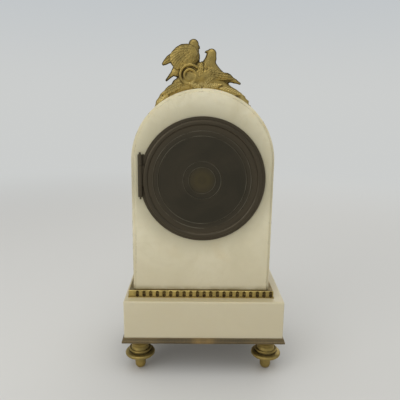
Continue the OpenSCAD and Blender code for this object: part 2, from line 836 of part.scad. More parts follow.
// One stretch of a hinge barrel with its leaf, in the movement's frame.
// The leaf runs from the barrel's axis inward by leaf_w, and by leaf_h toward
// the front for side = 1 or toward the rear for side = -1.
module knuckle(x, z, low, high, bore, leaf_w, leaf_h, side) {
    sx = sign(x);
    translate([x, hinge_rise + low, z]) rotate([-90, 0, 0]) difference() {
        union() {
            cylinder(h = high - low, r = knuckle_r, $fn = 32);
            translate([sx > 0 ? -leaf_w : 0, side > 0 ? -leaf_h : 0, 0])
                cube([leaf_w, leaf_h, high - low]);
        }
        drill(high - low, bore);
    }
}

hinge_third = hinge_len / 4;

// Fixed knuckles above and below, on a lug of the ring's own flange.
module fixed_knuckles(x, ring_face_z, forward) {
    z = ring_face_z + forward * hinge_stand;
    sx = sign(x);
    for (s = [-1, 1])
        knuckle(x, z, s > 0 ? hinge_third + hinge_gap / 2 : -hinge_len / 2,
                s > 0 ? hinge_len / 2 : -hinge_third - hinge_gap / 2,
                pin_r + SMALL, 1.4, hinge_stand + 0.3, -forward);
    lug_in = sleeve_r;
    lug_w = abs(x) + knuckle_r - lug_in;
    translate([sx > 0 ? lug_in : -lug_in - lug_w, hinge_rise - hinge_len / 2,
               forward > 0 ? ring_face_z - ring_t : ring_face_z])
        cube([lug_w, hinge_len, ring_t]);
}

module rear_ring() {
    color("#5a4a30") at_movement() difference() {
        union() {
            translate([0, 0, rear_ring_face]) tube(ring_r, sleeve_in_r, ring_t);
            translate([0, 0, depth(rear_y)]) tube(sleeve_r, sleeve_in_r, sleeve_len);
            translate([0, 0, rear_seat_back])
                tube(sleeve_r, seat_r, rear_seat_front - rear_seat_back);
            fixed_knuckles(rear_hinge_x, rear_ring_face, -1);
        }
        for (sx = [-1, 1])
            translate([sx * strap_screw_x, 0, rear_seat_back])
                drill(rear_seat_front - rear_seat_back, strap_screw_r + 0.1);
    }
}

// Half section of the rear door, [radius, height above the ring's face].
function door_section(lift) = [
    [0, lift],
    [door_r - door_rim_w - 0.6, lift],
    [door_r - door_rim_w - 0.6, 0],
    [door_r, 0],
    [door_r, door_rim_h - 0.8],
    [door_r - 0.35, door_rim_h - 0.25],
    [door_r - 1.1, door_rim_h],
    [door_r - door_rim_w + 0.7, door_rim_h],
    [door_r - door_rim_w, door_rim_h - 0.5],
    [door_r - door_rim_w - 0.4, lift + door_panel_t],
    [0, lift + door_panel_t]
];

module rear_door() {
    lift = door_rim_h - 1.1 - door_panel_t;
    lip_r = sleeve_in_r - door_lip_gap;
    leaf_w = rear_hinge_x - door_r + 0.8;
    color("#463c28") at_movement() difference() {
        union() {
            translate([0, 0, rear_ring_face - 2 * SEAT]) mirror([0, 0, 1]) {
                rotate_extrude($fn = 96) difference() {
                    polygon(door_section(lift));
                    for (r = door_line_r)
                        translate([r, lift + door_panel_t]) circle(r = door_line_w, $fn = 16);
                }
                translate([0, 0, -ring_t]) tube(lip_r, lip_r - door_lip_t, ring_t + SEAT);
            }
            knuckle(rear_hinge_x, rear_ring_face - hinge_stand, -hinge_third + hinge_gap / 2,
                    hinge_third - hinge_gap / 2, pin_r + RUN, leaf_w, 0.9, 1);
        }
        translate([rear_hinge_x, hinge_rise - hinge_len / 2, rear_ring_face - hinge_stand])
            rotate([-90, 0, 0]) cylinder(h = hinge_len, r = pin_r + RUN, $fn = 32);
    }
}

module front_ring() {
    color("goldenrod") at_movement() difference() {
        union() {
            translate([0, 0, depth(front_y)]) tube(ring_r, sleeve_in_r, ring_t);
            translate([0, 0, depth(front_y) - sleeve_len]) tube(sleeve_r, sleeve_in_r, sleeve_len);
            translate([0, 0, seat_back]) tube(sleeve_r, seat_r, seat_t);
            for (a = dial_foot_angles) rotate(a) translate([dial_foot_place_r, 0, 0]) {
                translate([0, 0, front_plate_out + SEAT])
                    cylinder(h = seat_back - front_plate_out, r = dial_foot_r + 0.7, $fn = 32);
                translate([0, 0, dial_foot_pin_z - 1.6])
                    cylinder(h = seat_back - dial_foot_pin_z, r = dial_foot_r, $fn = 32);
            }
            fixed_knuckles(-front_hinge_x, ring_face, 1);
        }
        for (a = dial_foot_angles) rotate(a)
            translate([dial_foot_place_r, taper_pin_len / 2, dial_foot_pin_z])
                rotate([90, 0, 0]) cylinder(h = taper_pin_len, r = taper_pin_r + SMALL, $fn = 16);
        for (sx = [-1, 1])
            translate([sx * strap_screw_x, 0, seat_back]) drill(seat_t, strap_screw_r + SMALL);
    }
}

// Rounded moulding of the bezel, [radius, height above the front ring].
function bezel_section() = [
    [bezel_sight_r + 1.6, 0],
    [bezel_r, 0],
    [bezel_r, 1.1],
    [bezel_r - 0.5, 1.3],
    [bezel_r - 0.7, 2.2],
    [bezel_r - 1.5, 3.4],
    [bezel_r - 2.7, 4.2],
    [bezel_r - 3.9, bezel_h],
    [bezel_sight_r + 2.2, bezel_h - 0.4],
    [bezel_sight_r + 0.9, bezel_h - 1.3],
    [bezel_sight_r, bezel_h - 2.3],
    [bezel_sight_r, 1.2 + glass_t],
    [bezel_sight_r + 1.6, 1.2 + glass_t]
];

module front_bezel() {
    leaf_w = front_hinge_x - bezel_r + 0.8;
    color("goldenrod") at_movement() difference() {
        union() {
            translate([0, 0, ring_face + 2 * SEAT]) rotate_extrude($fn = 96) polygon(bezel_section());
            knuckle(-front_hinge_x, ring_face + hinge_stand, -hinge_third + hinge_gap / 2,
                    hinge_third - hinge_gap / 2, pin_r + RUN, leaf_w, 0.9, -1);
        }
        translate([-front_hinge_x, hinge_rise - hinge_len / 2, ring_face + hinge_stand])
            rotate([-90, 0, 0]) cylinder(h = hinge_len, r = pin_r + RUN, $fn = 32);
    }
}

// Half outline of a shallow dome, from the middle to the edge.
function dome_curve(r, rise, steps, base) =
    [for (i = [0:steps]) let (x = r * i / steps) [x, base + rise * (1 - (x / r) ^ 2)]];

function reversed(list) = [for (i = [0:len(list) - 1]) list[len(list) - 1 - i]];

module bezel_glass() {
    r = bezel_sight_r + 1.6 - SEAT;
    inner = bezel_sight_r - 0.1;
    color("lightblue", 0.35) at_movement() translate([0, 0, ring_face + 2 * SEAT + 1.2])
        rotate_extrude($fn = 96) polygon(concat(
            dome_curve(inner, glass_dome, 5, 0),
            [[r, 0], [r, glass_t - SMALL], [inner, glass_t - SMALL]],
            reversed([for (p = dome_curve(inner, glass_dome, 5, glass_t - SMALL)) if (p.x < inner) p])
        ));
}

module hinge_pins() {
    h = hinge_len + 2 * pin_end;
    color("#6b5a38") at_movement() {
        for (place = [[rear_hinge_x, rear_ring_face - hinge_stand],
                      [-front_hinge_x, ring_face + hinge_stand]])
            translate([place.x, hinge_rise - h / 2, place.y]) rotate([-90, 0, 0])
                cylinder(h = h, r = pin_r, $fn = 32);
    }
}

// A strap that draws the two rings together through the bore.
module strap(sx) {
    inward = -sx;
    low = rear_seat_front + SEAT;
    high = seat_back - SEAT;
    x_in = sx * (strap_out_x - strap_t);
    color("goldenrod") at_movement() difference() {
        union() {
            translate([min(x_in, x_in + sx * strap_t), -strap_w / 2, low])
                cube([strap_t, strap_w, high - low]);
            for (z = [low, high - strap_t])
                translate([min(x_in, x_in + inward * strap_foot), -strap_w / 2, z])
                    cube([strap_foot, strap_w, strap_t]);
        }
        for (z = [low, high - strap_t])
            translate([sx * strap_screw_x, 0, z]) drill(strap_t, strap_screw_r + SMALL);
    }
}

// Identical screws, all with their heads to the rear.
module strap_screws() {
    color("steelblue") at_movement()
        for (sx = [-1, 1], z = [rear_seat_back - SEAT, seat_back - strap_t - 2 * SEAT])
            translate([sx * strap_screw_x, 0, z]) difference() {
                union() {
                    cylinder(h = strap_screw_len, r = strap_screw_r, $fn = 32);
                    translate([0, 0, -strap_screw_head_h])
                        cylinder(h = strap_screw_head_h, r = strap_screw_head_r, $fn = 32);
                }
                translate([-strap_screw_head_r, -slot_w / 2, -strap_screw_head_h - CUT])
                    cube([2 * strap_screw_head_r, slot_w, CUT + slot_deep]);
            }
}

// -------------------- dial and hands

module dial() {
    base = dial_t;
    color("white") at_movement() translate([0, 0, seat_front + SMALL]) difference() {
        rotate_extrude($fn = 96)
            polygon(concat(dome_curve(dial_r, dial_dome, 5, base), [[dial_r, 0], [0, 0]]));
        drill(dial_t + dial_dome, hour_pipe_r + 0.6);
        on_plate(barrel_at) drill(dial_t + dial_dome, winding_square + 0.2);
    }
}

// A pierced hand along +Y: hub and shaft, an open eye, and the point beyond.
module hand(length, hub_r, eye_r, eye_at, bore) {
    joint = 0.5;  // overlap of the eye with the shaft and with the point
    rim = 0.8;    // width of the eye's metal
    difference() {
        union() {
            cylinder(h = hand_t, r = hub_r, $fn = 32);
            linear_extrude(hand_t)
                polygon([[-1, 0], [-0.55, eye_at - eye_r + joint],
                         [0.55, eye_at - eye_r + joint], [1, 0]]);
            translate([0, eye_at, 0]) tube(eye_r, eye_r - rim, hand_t);
            linear_extrude(hand_t)
                polygon([[-0.7, eye_at + eye_r - joint], [0, length],
                         [0.7, eye_at + eye_r - joint]]);
        }
        drill(hand_t, bore);
    }
}

module hour_hand() {
    color("midnightblue") at_movement() translate([0, 0, hour_hand_z]) rotate(-hour_rest_a)
        hand(hour_hand_len, 3.4, 2.6, 14.5, hour_pipe_r + SMALL);
}

module minute_hand() {
    color("midnightblue") at_movement() translate([0, 0, minute_hand_z]) rotate(-minute_rest_a)
        hand(minute_hand_len, 2.6, 2.1, 25.5, centre_arbor_r - 0.3 + SMALL);
}

module hand_collet() {
    color("goldenrod") at_movement() translate([0, 0, minute_hand_z + hand_t + SMALL])
        tube(1.9, centre_arbor_r - 0.3 + SMALL, collet_h);
}

// -------------------- movement frame

module pivot_holes() {
    for (at = [inter_at, third_at, fourth_at]) on_plate(at) drill(plate_t, pivot_r + RUN);
}

module back_plate() {
    color("#b5964e") at_movement() translate([0, 0, back_plate_out]) difference() {
        cylinder(h = plate_t, r = plate_r, $fn = 96);
        pivot_holes();
        on_plate(centre_at) drill(plate_t, pivot_r + RUN);
        on_plate(barrel_at) drill(plate_t, barrel_rear_r + RUN);
        on_plate(escape_at) drill(plate_t, 2.2);
        for (a = pillar_angles) rotate(a)
            translate([pillar_place_r, 0, 0]) drill(plate_t, pillar_foot_r + SMALL);
        for (at = platform_screw_places()) on_plate(at) drill(plate_t, screw_r + SMALL);
    }
}

module front_plate() {
    color("#b5964e") at_movement() {
        translate([0, 0, front_plate_in]) difference() {
            cylinder(h = plate_t, r = plate_r, $fn = 96);
            pivot_holes();
            on_plate(escape_at) drill(plate_t, escape_pivot_r + RUN);
            on_plate(centre_at) drill(plate_t, centre_arbor_r + RUN);
            on_plate(barrel_at) drill(plate_t, barrel_pivot_r + RUN);
            for (a = pillar_angles) rotate(a)
                translate([pillar_place_r, 0, 0]) drill(plate_t, pillar_neck_r + SMALL);
            for (a = dial_foot_angles) rotate(a)
                translate([dial_foot_place_r, 0, 0]) drill(plate_t, dial_foot_r + SMALL);
            for (at = front_screw_places()) on_plate(at) drill(plate_t, screw_r + SMALL);
        }
        // stud that the minute wheel turns on
        on_plate(minute_at, front_plate_out - 0.1)
            cylinder(h = hour_wheel_z + hour_wheel_t + 0.6 - front_plate_out, r = 0.9, $fn = 32);
    }
}

module pillars() {
    color("#b5964e") at_movement() for (a = pillar_angles) rotate(a)
        translate([pillar_place_r, 0, 0]) difference() {
            union() {
                rotate_extrude($fn = 32) polygon([
                    [0, SMALL], [pillar_r + 0.8, SMALL], [pillar_r + 0.8, 1],
                    [pillar_r, 1.6], [pillar_r, plate_gap / 2 - 1.6],
                    [pillar_r + 0.6, plate_gap / 2 - 0.8], [pillar_r + 0.6, plate_gap / 2 + 0.8],
                    [pillar_r, plate_gap / 2 + 1.6], [pillar_r, plate_gap - 1.6],
                    [pillar_r + 0.8, plate_gap - 1], [pillar_r + 0.8, plate_gap - SMALL],
                    [0, plate_gap - SMALL]
                ]);
                translate([0, 0, -plate_t]) cylinder(h = plate_t + 1, r = pillar_foot_r, $fn = 32);
                translate([0, 0, plate_gap - 1])
                    cylinder(h = plate_t + 2.8, r = pillar_neck_r, $fn = 32);
            }
            translate([0, taper_pin_len / 2, pillar_pin_z]) rotate([90, 0, 0])
                cylinder(h = taper_pin_len, r = taper_pin_r + SMALL, $fn = 16);
        }
}

module taper_pins() {
    color("silver") at_movement() {
        for (a = pillar_angles) rotate(a)
            translate([pillar_place_r, taper_pin_len / 2, pillar_pin_z])
                rotate([90, 0, 0]) cylinder(h = taper_pin_len, r = taper_pin_r, $fn = 16);
        for (a = dial_foot_angles) rotate(a)
            translate([dial_foot_place_r, taper_pin_len / 2, dial_foot_pin_z])
                rotate([90, 0, 0]) cylinder(h = taper_pin_len, r = taper_pin_r, $fn = 16);
    }
}

// Where the movement's screws stand.
function platform_screw_places() = [
    [platform_right - 1.8, platform_low + 1.8], escape_foot_at, [platform_left + 2.8, platform_low + 1.6]
];
function cock_screw_places() = [balance_foot_at + screw_r * [-0.75, 1]];
function front_screw_places() = [
    barrel_at + [-bridge_half, 0], barrel_at + [bridge_half, 0], click_at, click_spring_at
];

module small_screw(length) {
    cylinder(h = length, r = screw_r, $fn = 32);
    difference() {
        translate([0, 0, length]) cylinder(h = screw_head_h, r = screw_head_r, $fn = 32);
        translate([-screw_head_r, -slot_w / 2, length + screw_head_h - slot_deep])
            cube([2 * screw_head_r, slot_w, slot_deep + CUT]);
    }
}

module movement_screws() {
    color("steelblue") at_movement() {
        rear_heads = [platform_z, escape_cock_z, platform_z];
        for (i = [0:2])
            on_plate(platform_screw_places()[i], -screw_short) mirror([0, 0, 1])
                small_screw(-screw_short - rear_heads[i] + SEAT);
        for (at = cock_screw_places())
            on_plate(at, platform_z + platform_t - screw_short) mirror([0, 0, 1])
                small_screw(platform_z + platform_t - screw_short - balance_cock_z + SEAT);
        front_heads = [bridge_z + bridge_t, bridge_z + bridge_t,
                       ratchet_z + ratchet_t, ratchet_z + ratchet_t];
        for (i = [0:3])
            on_plate(front_screw_places()[i], front_plate_in + screw_short)
                small_screw(front_heads[i] + SEAT - front_plate_in - screw_short);
    }
}

// -------------------- barrel and click work

module barrel() {
    color("#b5964e") at_movement() on_plate(barrel_at) {
        translate([0, 0, great_z]) linear_extrude(great_t) difference() {
            rotate(heading(barrel_at, inter_at))
                polygon(cut_teeth(great_n, great_m, WHEEL_WIDTH, WHEEL_ADDENDUM, WHEEL_DEDENDUM));
            circle(r = barrel_shaft_r + RUN, $fn = 32);
        }
        translate([0, 0, drum_z - 0.1]) difference() {
            cylinder(h = drum_h + cap_t + 0.1, r = drum_r, $fn = 96);
            translate([0, 0, 0.1]) cylinder(h = drum_h + CUT, r = drum_r - drum_wall, $fn = 96);
            drill(0.1, drum_r - drum_wall - 1, 96);
            translate([0, 0, drum_h + 0.1])
                cylinder(h = cap_t + CUT, r = drum_r - drum_wall / 2, $fn = 96);
        }
    }
}

module barrel_cap() {
    color("#b5964e") at_movement() on_plate(barrel_at, cap_z + SMALL)
        tube(drum_r - drum_wall / 2 - SMALL, barrel_shaft_r + RUN, cap_t - SMALL);
}

module barrel_arbor() {
    hub_r = 4.6;
    color("lightsteelblue") at_movement() on_plate(barrel_at) {
        translate([0, 0, -plate_t]) cylinder(h = plate_t + 1, r = barrel_rear_r, $fn = 32);
        translate([0, 0, shake]) cylinder(h = plate_gap - 2 * shake, r = barrel_shaft_r, $fn = 32);
        translate([0, 0, drum_z + 0.3]) cylinder(h = drum_h - 0.6, r = hub_r, $fn = 48);
        translate([0, 0, plate_gap - 1])
            cylinder(h = plate_t + 1.1, r = barrel_pivot_r, $fn = 32);
        translate([-winding_square / 2, -winding_square / 2, front_plate_out])
            cube([winding_square, winding_square, seat_front - 0.4 - front_plate_out]);
    }
}

// Coils lying against the drum's wall, as one spiral strip.
module mainspring() {
    strip = 0.45;
    pitch = strip + 0.2;
    outer = drum_r - drum_wall - 0.15;
    step = 15;
    last = mainspring_turns * 360;
    function coil_r(a) = outer - pitch * a / 360;
    color("dimgray") at_movement() on_plate(barrel_at, drum_z + 0.6)
        linear_extrude(drum_h - 1.2) polygon(concat(
            [for (a = [0:step:last]) polar(coil_r(a), a)],
            [for (a = [last:-step:0]) polar(coil_r(a) - strip, a)]
        ));
}

module ratchet_wheel() {
    root = ratchet_r - 0.9;
    step = 360 / ratchet_n;
    color("lightsteelblue") at_movement() on_plate(barrel_at, ratchet_z)
        linear_extrude(ratchet_t) difference() {
            polygon([for (i = [0:ratchet_n - 1])
                each [polar(ratchet_r, i * step), polar(root, i * step + 1)]]);
            square(winding_square + 2 * SMALL, center = true);
        }
}

module ratchet_bridge() {
    w = 5;
    color("#b5964e") at_movement() on_plate(barrel_at) difference() {
        union() {
            translate([-bridge_half, -w / 2, bridge_z]) cube([2 * bridge_half, w, bridge_t]);
            for (sx = [-1, 1]) translate([sx * bridge_half, 0, front_plate_out + SEAT])
                cylinder(h = bridge_z + bridge_t - front_plate_out - SEAT, r = w / 2, $fn = 32);
        }
        translate([0, 0, bridge_z]) drill(bridge_t, winding_square * 0.72 + 0.1);
        for (sx = [-1, 1]) translate([sx * bridge_half, 0, front_plate_out])
            drill(bridge_z + bridge_t - front_plate_out, screw_r + RUN);
    }
}

module click() {
    tip = barrel_at + (ratchet_r + click_tip_gap) * [cos(click_tip_a), sin(click_tip_a)] - click_at;
    away = tip / norm(tip);
    across = [-away.y, away.x];
    color("lightsteelblue") at_movement() on_plate(click_at, ratchet_z)
        linear_extrude(ratchet_t) difference() {
            union() {
                circle(r = 1.9, $fn = 32);
                polygon([-1.7 * across, tip, tip + 1.1 * across, 1.9 * across]);
            }
            circle(r = screw_r + RUN, $fn = 32);
        }
}

// Leaf spring that bears on the click's outer flank, near the click's pivot.
module click_spring() {
    reach = click_at + [-2.2, -2.1 - click_spring_w / 2] - click_spring_at;
    color("steelblue") at_movement() on_plate(click_spring_at, ratchet_z)
        linear_extrude(ratchet_t) difference() {
            union() {
                circle(r = 1.8, $fn = 32);
                rotate(heading([0, 0], reach))
                    translate([0, -click_spring_w / 2]) square([norm(reach), click_spring_w]);
            }
            circle(r = screw_r + RUN, $fn = 32);
        }
}

// -------------------- going train

module intermediate_wheel() {
    color("#c2a25a") at_movement() on_plate(inter_at, inter_wheel_z)
        train_wheel(inter_n, inter_m, inter_wheel_t, inter_arbor_r + SMALL,
                    heading(inter_at, centre_at));
}

module intermediate_arbor() {
    color("lightsteelblue") at_movement() on_plate(inter_at) {
        plain_arbor(inter_arbor_r);
        translate([0, 0, great_z - pinion_side])
            leaves(inter_pinion_n, great_m, great_t + 2 * pinion_side,
                   heading(inter_at, barrel_at));
    }
}

module centre_wheel() {
    color("#c2a25a") at_movement() on_plate(centre_at, centre_wheel_z)
        train_wheel(centre_n, centre_m, centre_wheel_t, centre_arbor_r + SMALL,
                    heading(centre_at, third_at));
}

module centre_arbor() {
    top = minute_hand_z + hand_t + collet_h + 0.3;
    color("lightsteelblue") at_movement() {
        translate([0, 0, -plate_t + pivot_end]) cylinder(h = plate_t, r = pivot_r, $fn = 32);
        translate([0, 0, shake])
            cylinder(h = hour_hand_z - shake, r = centre_arbor_r, $fn = 32);
        cylinder(h = top, r = centre_arbor_r - 0.3, $fn = 32);
        translate([0, 0, inter_wheel_z - pinion_side])
            leaves(centre_pinion_n, inter_m, inter_wheel_t + 2 * pinion_side,
                   heading(centre_at, inter_at));
    }
}

module third_wheel() {
    color("#c2a25a") at_movement() on_plate(third_at, third_wheel_z)
        train_wheel(third_n, third_m, third_wheel_t, third_arbor_r + SMALL,
                    heading(third_at, fourth_at));
}

module third_arbor() {
    color("lightsteelblue") at_movement() on_plate(third_at) {
        plain_arbor(third_arbor_r);
        translate([0, 0, centre_wheel_z - pinion_side])
            leaves(third_pinion_n, centre_m, centre_wheel_t + 2 * pinion_side,
                   heading(third_at, centre_at));
    }
}

module fourth_wheel() {
    color("#c2a25a") at_movement() on_plate(fourth_at, fourth_wheel_z)
        train_wheel(fourth_n, fourth_m, fourth_wheel_t, fourth_arbor_r + SMALL,
                    heading(fourth_at, escape_at));
}

module fourth_arbor() {
    color("lightsteelblue") at_movement() on_plate(fourth_at) {
        plain_arbor(fourth_arbor_r);
        translate([0, 0, third_wheel_z - pinion_side])
            leaves(fourth_pinion_n, third_m, third_wheel_t + 2 * pinion_side,
                   heading(fourth_at, third_at));
    }
}

// -------------------- motion work

module cannon_pinion() {
    color("lightsteelblue") at_movement() {
        translate([0, 0, cannon_z])
            leaves(cannon_n, motion_m, cannon_leaf_h, heading(centre_at, minute_at),
                   centre_arbor_r + SMALL);
        translate([0, 0, cannon_z + cannon_leaf_h - 0.1])
            tube(cannon_pipe_r, centre_arbor_r + SMALL,
                 hour_hand_z + hand_t + 0.4 - cannon_z - cannon_leaf_h);
    }
}

module minute_wheel() {
    color("#c2a25a") at_movement() on_plate(minute_at, minute_wheel_z) {
        train_wheel(minute_n, motion_m, minute_wheel_t, 0.9 + RUN, heading(minute_at, centre_at), 4);
        translate([0, 0, minute_wheel_t - 0.1])
            leaves(minute_pinion_n, hour_m, minute_pinion_h, heading(minute_at, centre_at),
                   0.9 + RUN);
    }
}

module hour_wheel() {
    bore = cannon_pipe_r + RUN;
    color("#c2a25a") at_movement() translate([0, 0, hour_wheel_z]) {
        linear_extrude(hour_wheel_t) difference() {
            rotate(heading(centre_at, minute_at))
                polygon(cut_teeth(hour_n, hour_m, WHEEL_WIDTH, WHEEL_ADDENDUM, WHEEL_DEDENDUM));
            circle(r = bore, $fn = 32);
        }
        translate([0, 0, hour_wheel_t - 0.1])
            tube(hour_pipe_r, bore, hour_hand_z + hand_t + 0.2 - hour_wheel_z - hour_wheel_t);
    }
}

// -------------------- platform escapement

module platform_plate() {
    w = platform_right - platform_left;
    h = platform_high - platform_low;
    color("#c9ab62") at_movement() translate([0, 0, platform_z]) difference() {
        translate([platform_left, platform_low, 0]) cube([w, h, platform_t - SMALL]);
        on_plate(escape_at) drill(platform_t, 3 * escape_arbor_r);
        for (at = [lever_at, balance_at]) on_plate(at) drill(platform_t, escape_pivot_r + RUN);
        for (at = concat(platform_screw_places(), cock_screw_places()))
            on_plate(at) drill(platform_t, screw_r + SMALL);
    }
}

// Escape wheel, pinion and arbor, staked together.
module escape_wheel() {
    step = 360 / escape_n;
    root = escape_r - 1;
    color("goldenrod") at_movement() on_plate(escape_at) {
        translate([0, 0, escape_wheel_z]) linear_extrude(escape_wheel_t) difference() {
            polygon([for (i = [0:escape_n - 1]) each [
                polar(root, i * step - 3), polar(escape_r, i * step),
                polar(escape_r, i * step + 2.5), polar(root, i * step + 6)
            ]]);
            difference() {
                circle(r = root - 0.5, $fn = 32);
                circle(r = 1, $fn = 32);
                for (i = [0:3]) rotate(90 * i) translate([0, -0.25]) square([root, 0.5]);
            }
        }
        low = escape_cock_z + 0.3;
        translate([0, 0, low])
            cylinder(h = front_plate_out - pivot_end - low, r = escape_pivot_r, $fn = 32);
        translate([0, 0, escape_cock_z + escape_cock_t + shake])
            cylinder(h = plate_gap - escape_cock_z - escape_cock_t - 2 * shake,
                     r = escape_arbor_r, $fn = 32);
        translate([0, 0, fourth_wheel_z - pinion_side])
            leaves(escape_pinion_n, fourth_m, fourth_wheel_t + 2 * pinion_side,
                   heading(escape_at, fourth_at));
    }
}

// Cock that carries the rear pivots of the escape wheel and the lever.
module escape_cock() {
    w = 3;
    color("#c9ab62") at_movement() difference() {
        union() {
            for (ends = [[escape_foot_at, escape_at], [escape_at, lever_at]])
                on_plate(ends[0], escape_cock_z) rotate(heading(ends[0], ends[1]))
                    translate([0, -w / 2, 0]) cube([norm(ends[1] - ends[0]), w, escape_cock_t]);
            for (at = [escape_at, escape_foot_at])
                on_plate(at, escape_cock_z) cylinder(h = escape_cock_t, r = w / 2, $fn = 32);
            on_plate(lever_at, escape_cock_z) cylinder(h = escape_cock_t, r = 1.1, $fn = 32);
            on_plate(escape_foot_at, escape_cock_z)
                cylinder(h = platform_z - SEAT - escape_cock_z, r = 2, $fn = 32);
        }
        for (at = [lever_at, escape_at])
            on_plate(at, escape_cock_z) drill(escape_cock_t, escape_pivot_r + RUN);
        on_plate(escape_foot_at, escape_cock_z) drill(platform_z - escape_cock_z, screw_r + RUN);
    }
}

// Lever with two pallets and a forked end.  The pallets stand just clear of
// the escape wheel's teeth.
module pallet_lever() {
    arm = norm(balance_at - lever_at);
    fork = arm - 1.9;
    staff_r = 0.45;
    spread = 62;
    clear = 0.25;
    color("lightsteelblue") at_movement() on_plate(lever_at) {
        translate([0, 0, lever_z]) rotate(heading(lever_at, balance_at))
            linear_extrude(lever_t) difference() {
                union() {
                    circle(r = 0.65, $fn = 32);
                    translate([0, -0.4]) square([fork, 0.8]);
                    translate([fork - 0.6, -0.9]) square([1.3, 1.8]);
                    translate([-(escape_r + 0.75), 0]) for (s = [-1, 1]) rotate(s * spread / 2)
                        translate([escape_r + clear, -0.35]) square([1.1, 0.7]);
                    translate([-0.4, -2.6]) square([0.8, 5.2]);
                }
                translate([fork - 0.1, -0.4]) square([2, 0.8]);
            }
        translate([0, 0, escape_cock_z + 0.3])
            cylinder(h = platform_z + platform_t - 0.4 - escape_cock_z, r = escape_pivot_r, $fn = 32);
        translate([0, 0, escape_cock_z + escape_cock_t + shake])
            cylinder(h = platform_z - escape_cock_z - escape_cock_t - 2 * shake,
                     r = staff_r, $fn = 32);
    }
}

module balance_cock() {
    w = 5;
    arm = norm(balance_at - balance_foot_at);
    color("#c9ab62") at_movement() difference() {
        union() {
            on_plate(balance_foot_at, balance_cock_z) rotate(heading(balance_foot_at, balance_at))
                translate([0, -w / 2, 0]) cube([arm, w, balance_cock_t]);
            for (at = [balance_foot_at, balance_at])
                on_plate(at, balance_cock_z) cylinder(h = balance_cock_t, r = w / 2, $fn = 32);
            on_plate(balance_foot_at, balance_cock_z)
                cylinder(h = platform_z - SEAT - balance_cock_z, r = w / 2, $fn = 32);
        }
        on_plate(balance_at, balance_cock_z) drill(balance_cock_t, escape_pivot_r + RUN);
        for (at = cock_screw_places())
            on_plate(at, balance_cock_z) drill(platform_z - balance_cock_z, screw_r + RUN);
    }
}

module balance_wheel() {
    rim = 1.1;
    color("goldenrod") at_movement() on_plate(balance_at) {
        translate([0, 0, balance_z]) linear_extrude(balance_t) {
            difference() {
                circle(r = balance_r);
                circle(r = balance_r - rim);
            }
            rotate(50) translate([-balance_r + rim / 2, -0.6]) square([2 * balance_r - rim, 1.2]);
            circle(r = 1.5, $fn = 32);
        }
        translate([0, 0, platform_z - 1.5]) cylinder(h = 0.5, r = 1.2, $fn = 32);
        translate([0, 0, balance_cock_z + 0.3])
            cylinder(h = platform_z + platform_t - 0.7 - balance_cock_z,
                     r = escape_pivot_r, $fn = 32);
        translate([0, 0, balance_cock_z + balance_cock_t + shake])
            cylinder(h = platform_z - balance_cock_z - balance_cock_t - 2 * shake,
                     r = 0.5, $fn = 32);
    }
}

// Flat spiral from the balance staff's collet out to the stud.
module hairspring() {
    wire = 0.12;
    inner = 0.9;
    pitch = 0.62;
    step = 15;
    last = hairspring_turns * 360;
    function coil_r(a) = inner + pitch * a / 360;
    color("steelblue") at_movement() on_plate(balance_at, hairspring_z)
        linear_extrude(hairspring_t) polygon(concat(
            [for (a = [0:step:last]) polar(coil_r(a), a)],
            [for (a = [last:-step:0]) polar(coil_r(a) + wire, a)]
        ));
}

// Index that lies on the balance cock and turns round the balance's pivot.
module regulator() {
    color("lightsteelblue") at_movement() on_plate(balance_at, regulator_z)
        linear_extrude(regulator_t) difference() {
            union() {
                circle(r = 2.1, $fn = 32);
                rotate(heading(balance_at, balance_foot_at)) polygon([
                    [0, -pointer_w / 2], [7.4, -0.2], [7.4, 0.2], [0, pointer_w / 2]
                ]);
            }
            circle(r = 1.3, $fn = 32);
        }
}

// -------------------- parts

case_body();
plinth();
base_moulding();
foot_frame();
foot(-1, -1);  // foot_front_left
foot(1, -1);  // foot_front_right
foot(-1, 1);  // foot_rear_left
foot(1, 1);  // foot_rear_right
foot_nuts();
tie_rod();
tie_rod_nuts();
tie_rod_washers();
crest();
crest_stud();
crest_nut();
rear_ring();
rear_door();
front_ring();
dial();
front_bezel();
bezel_glass();
hinge_pins();
strap(-1);  // strap_left
strap(1);  // strap_right
strap_screws();
back_plate();
front_plate();
pillars();
taper_pins();
movement_screws();
barrel();
barrel_cap();
barrel_arbor();
mainspring();
ratchet_wheel();
ratchet_bridge();
click();
click_spring();
intermediate_wheel();
intermediate_arbor();
centre_wheel();
centre_arbor();
third_wheel();
third_arbor();
fourth_wheel();
fourth_arbor();
cannon_pinion();
minute_wheel();
hour_wheel();
hour_hand();
minute_hand();
hand_collet();
platform_plate();
escape_wheel();
escape_cock();
pallet_lever();
balance_cock();
balance_wheel();
hairspring();
regulator();
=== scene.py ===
"""The looks of an arched mantel clock: alabaster case, gilt mounts, dove crest and open movement.

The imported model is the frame. The classes below dress its nodes and add the carved crest and what
is painted and pressed into the dial. Lengths are in metres, except in Clay, Crest and DialWork,
which work in millimetres.
"""
import itertools
import logging
import math
from dataclasses import dataclass, field
from enum import Enum
from typing import Optional, Protocol, Sequence, Union

import bpy
import numpy as np
from mathutils import Euler, Matrix, Vector


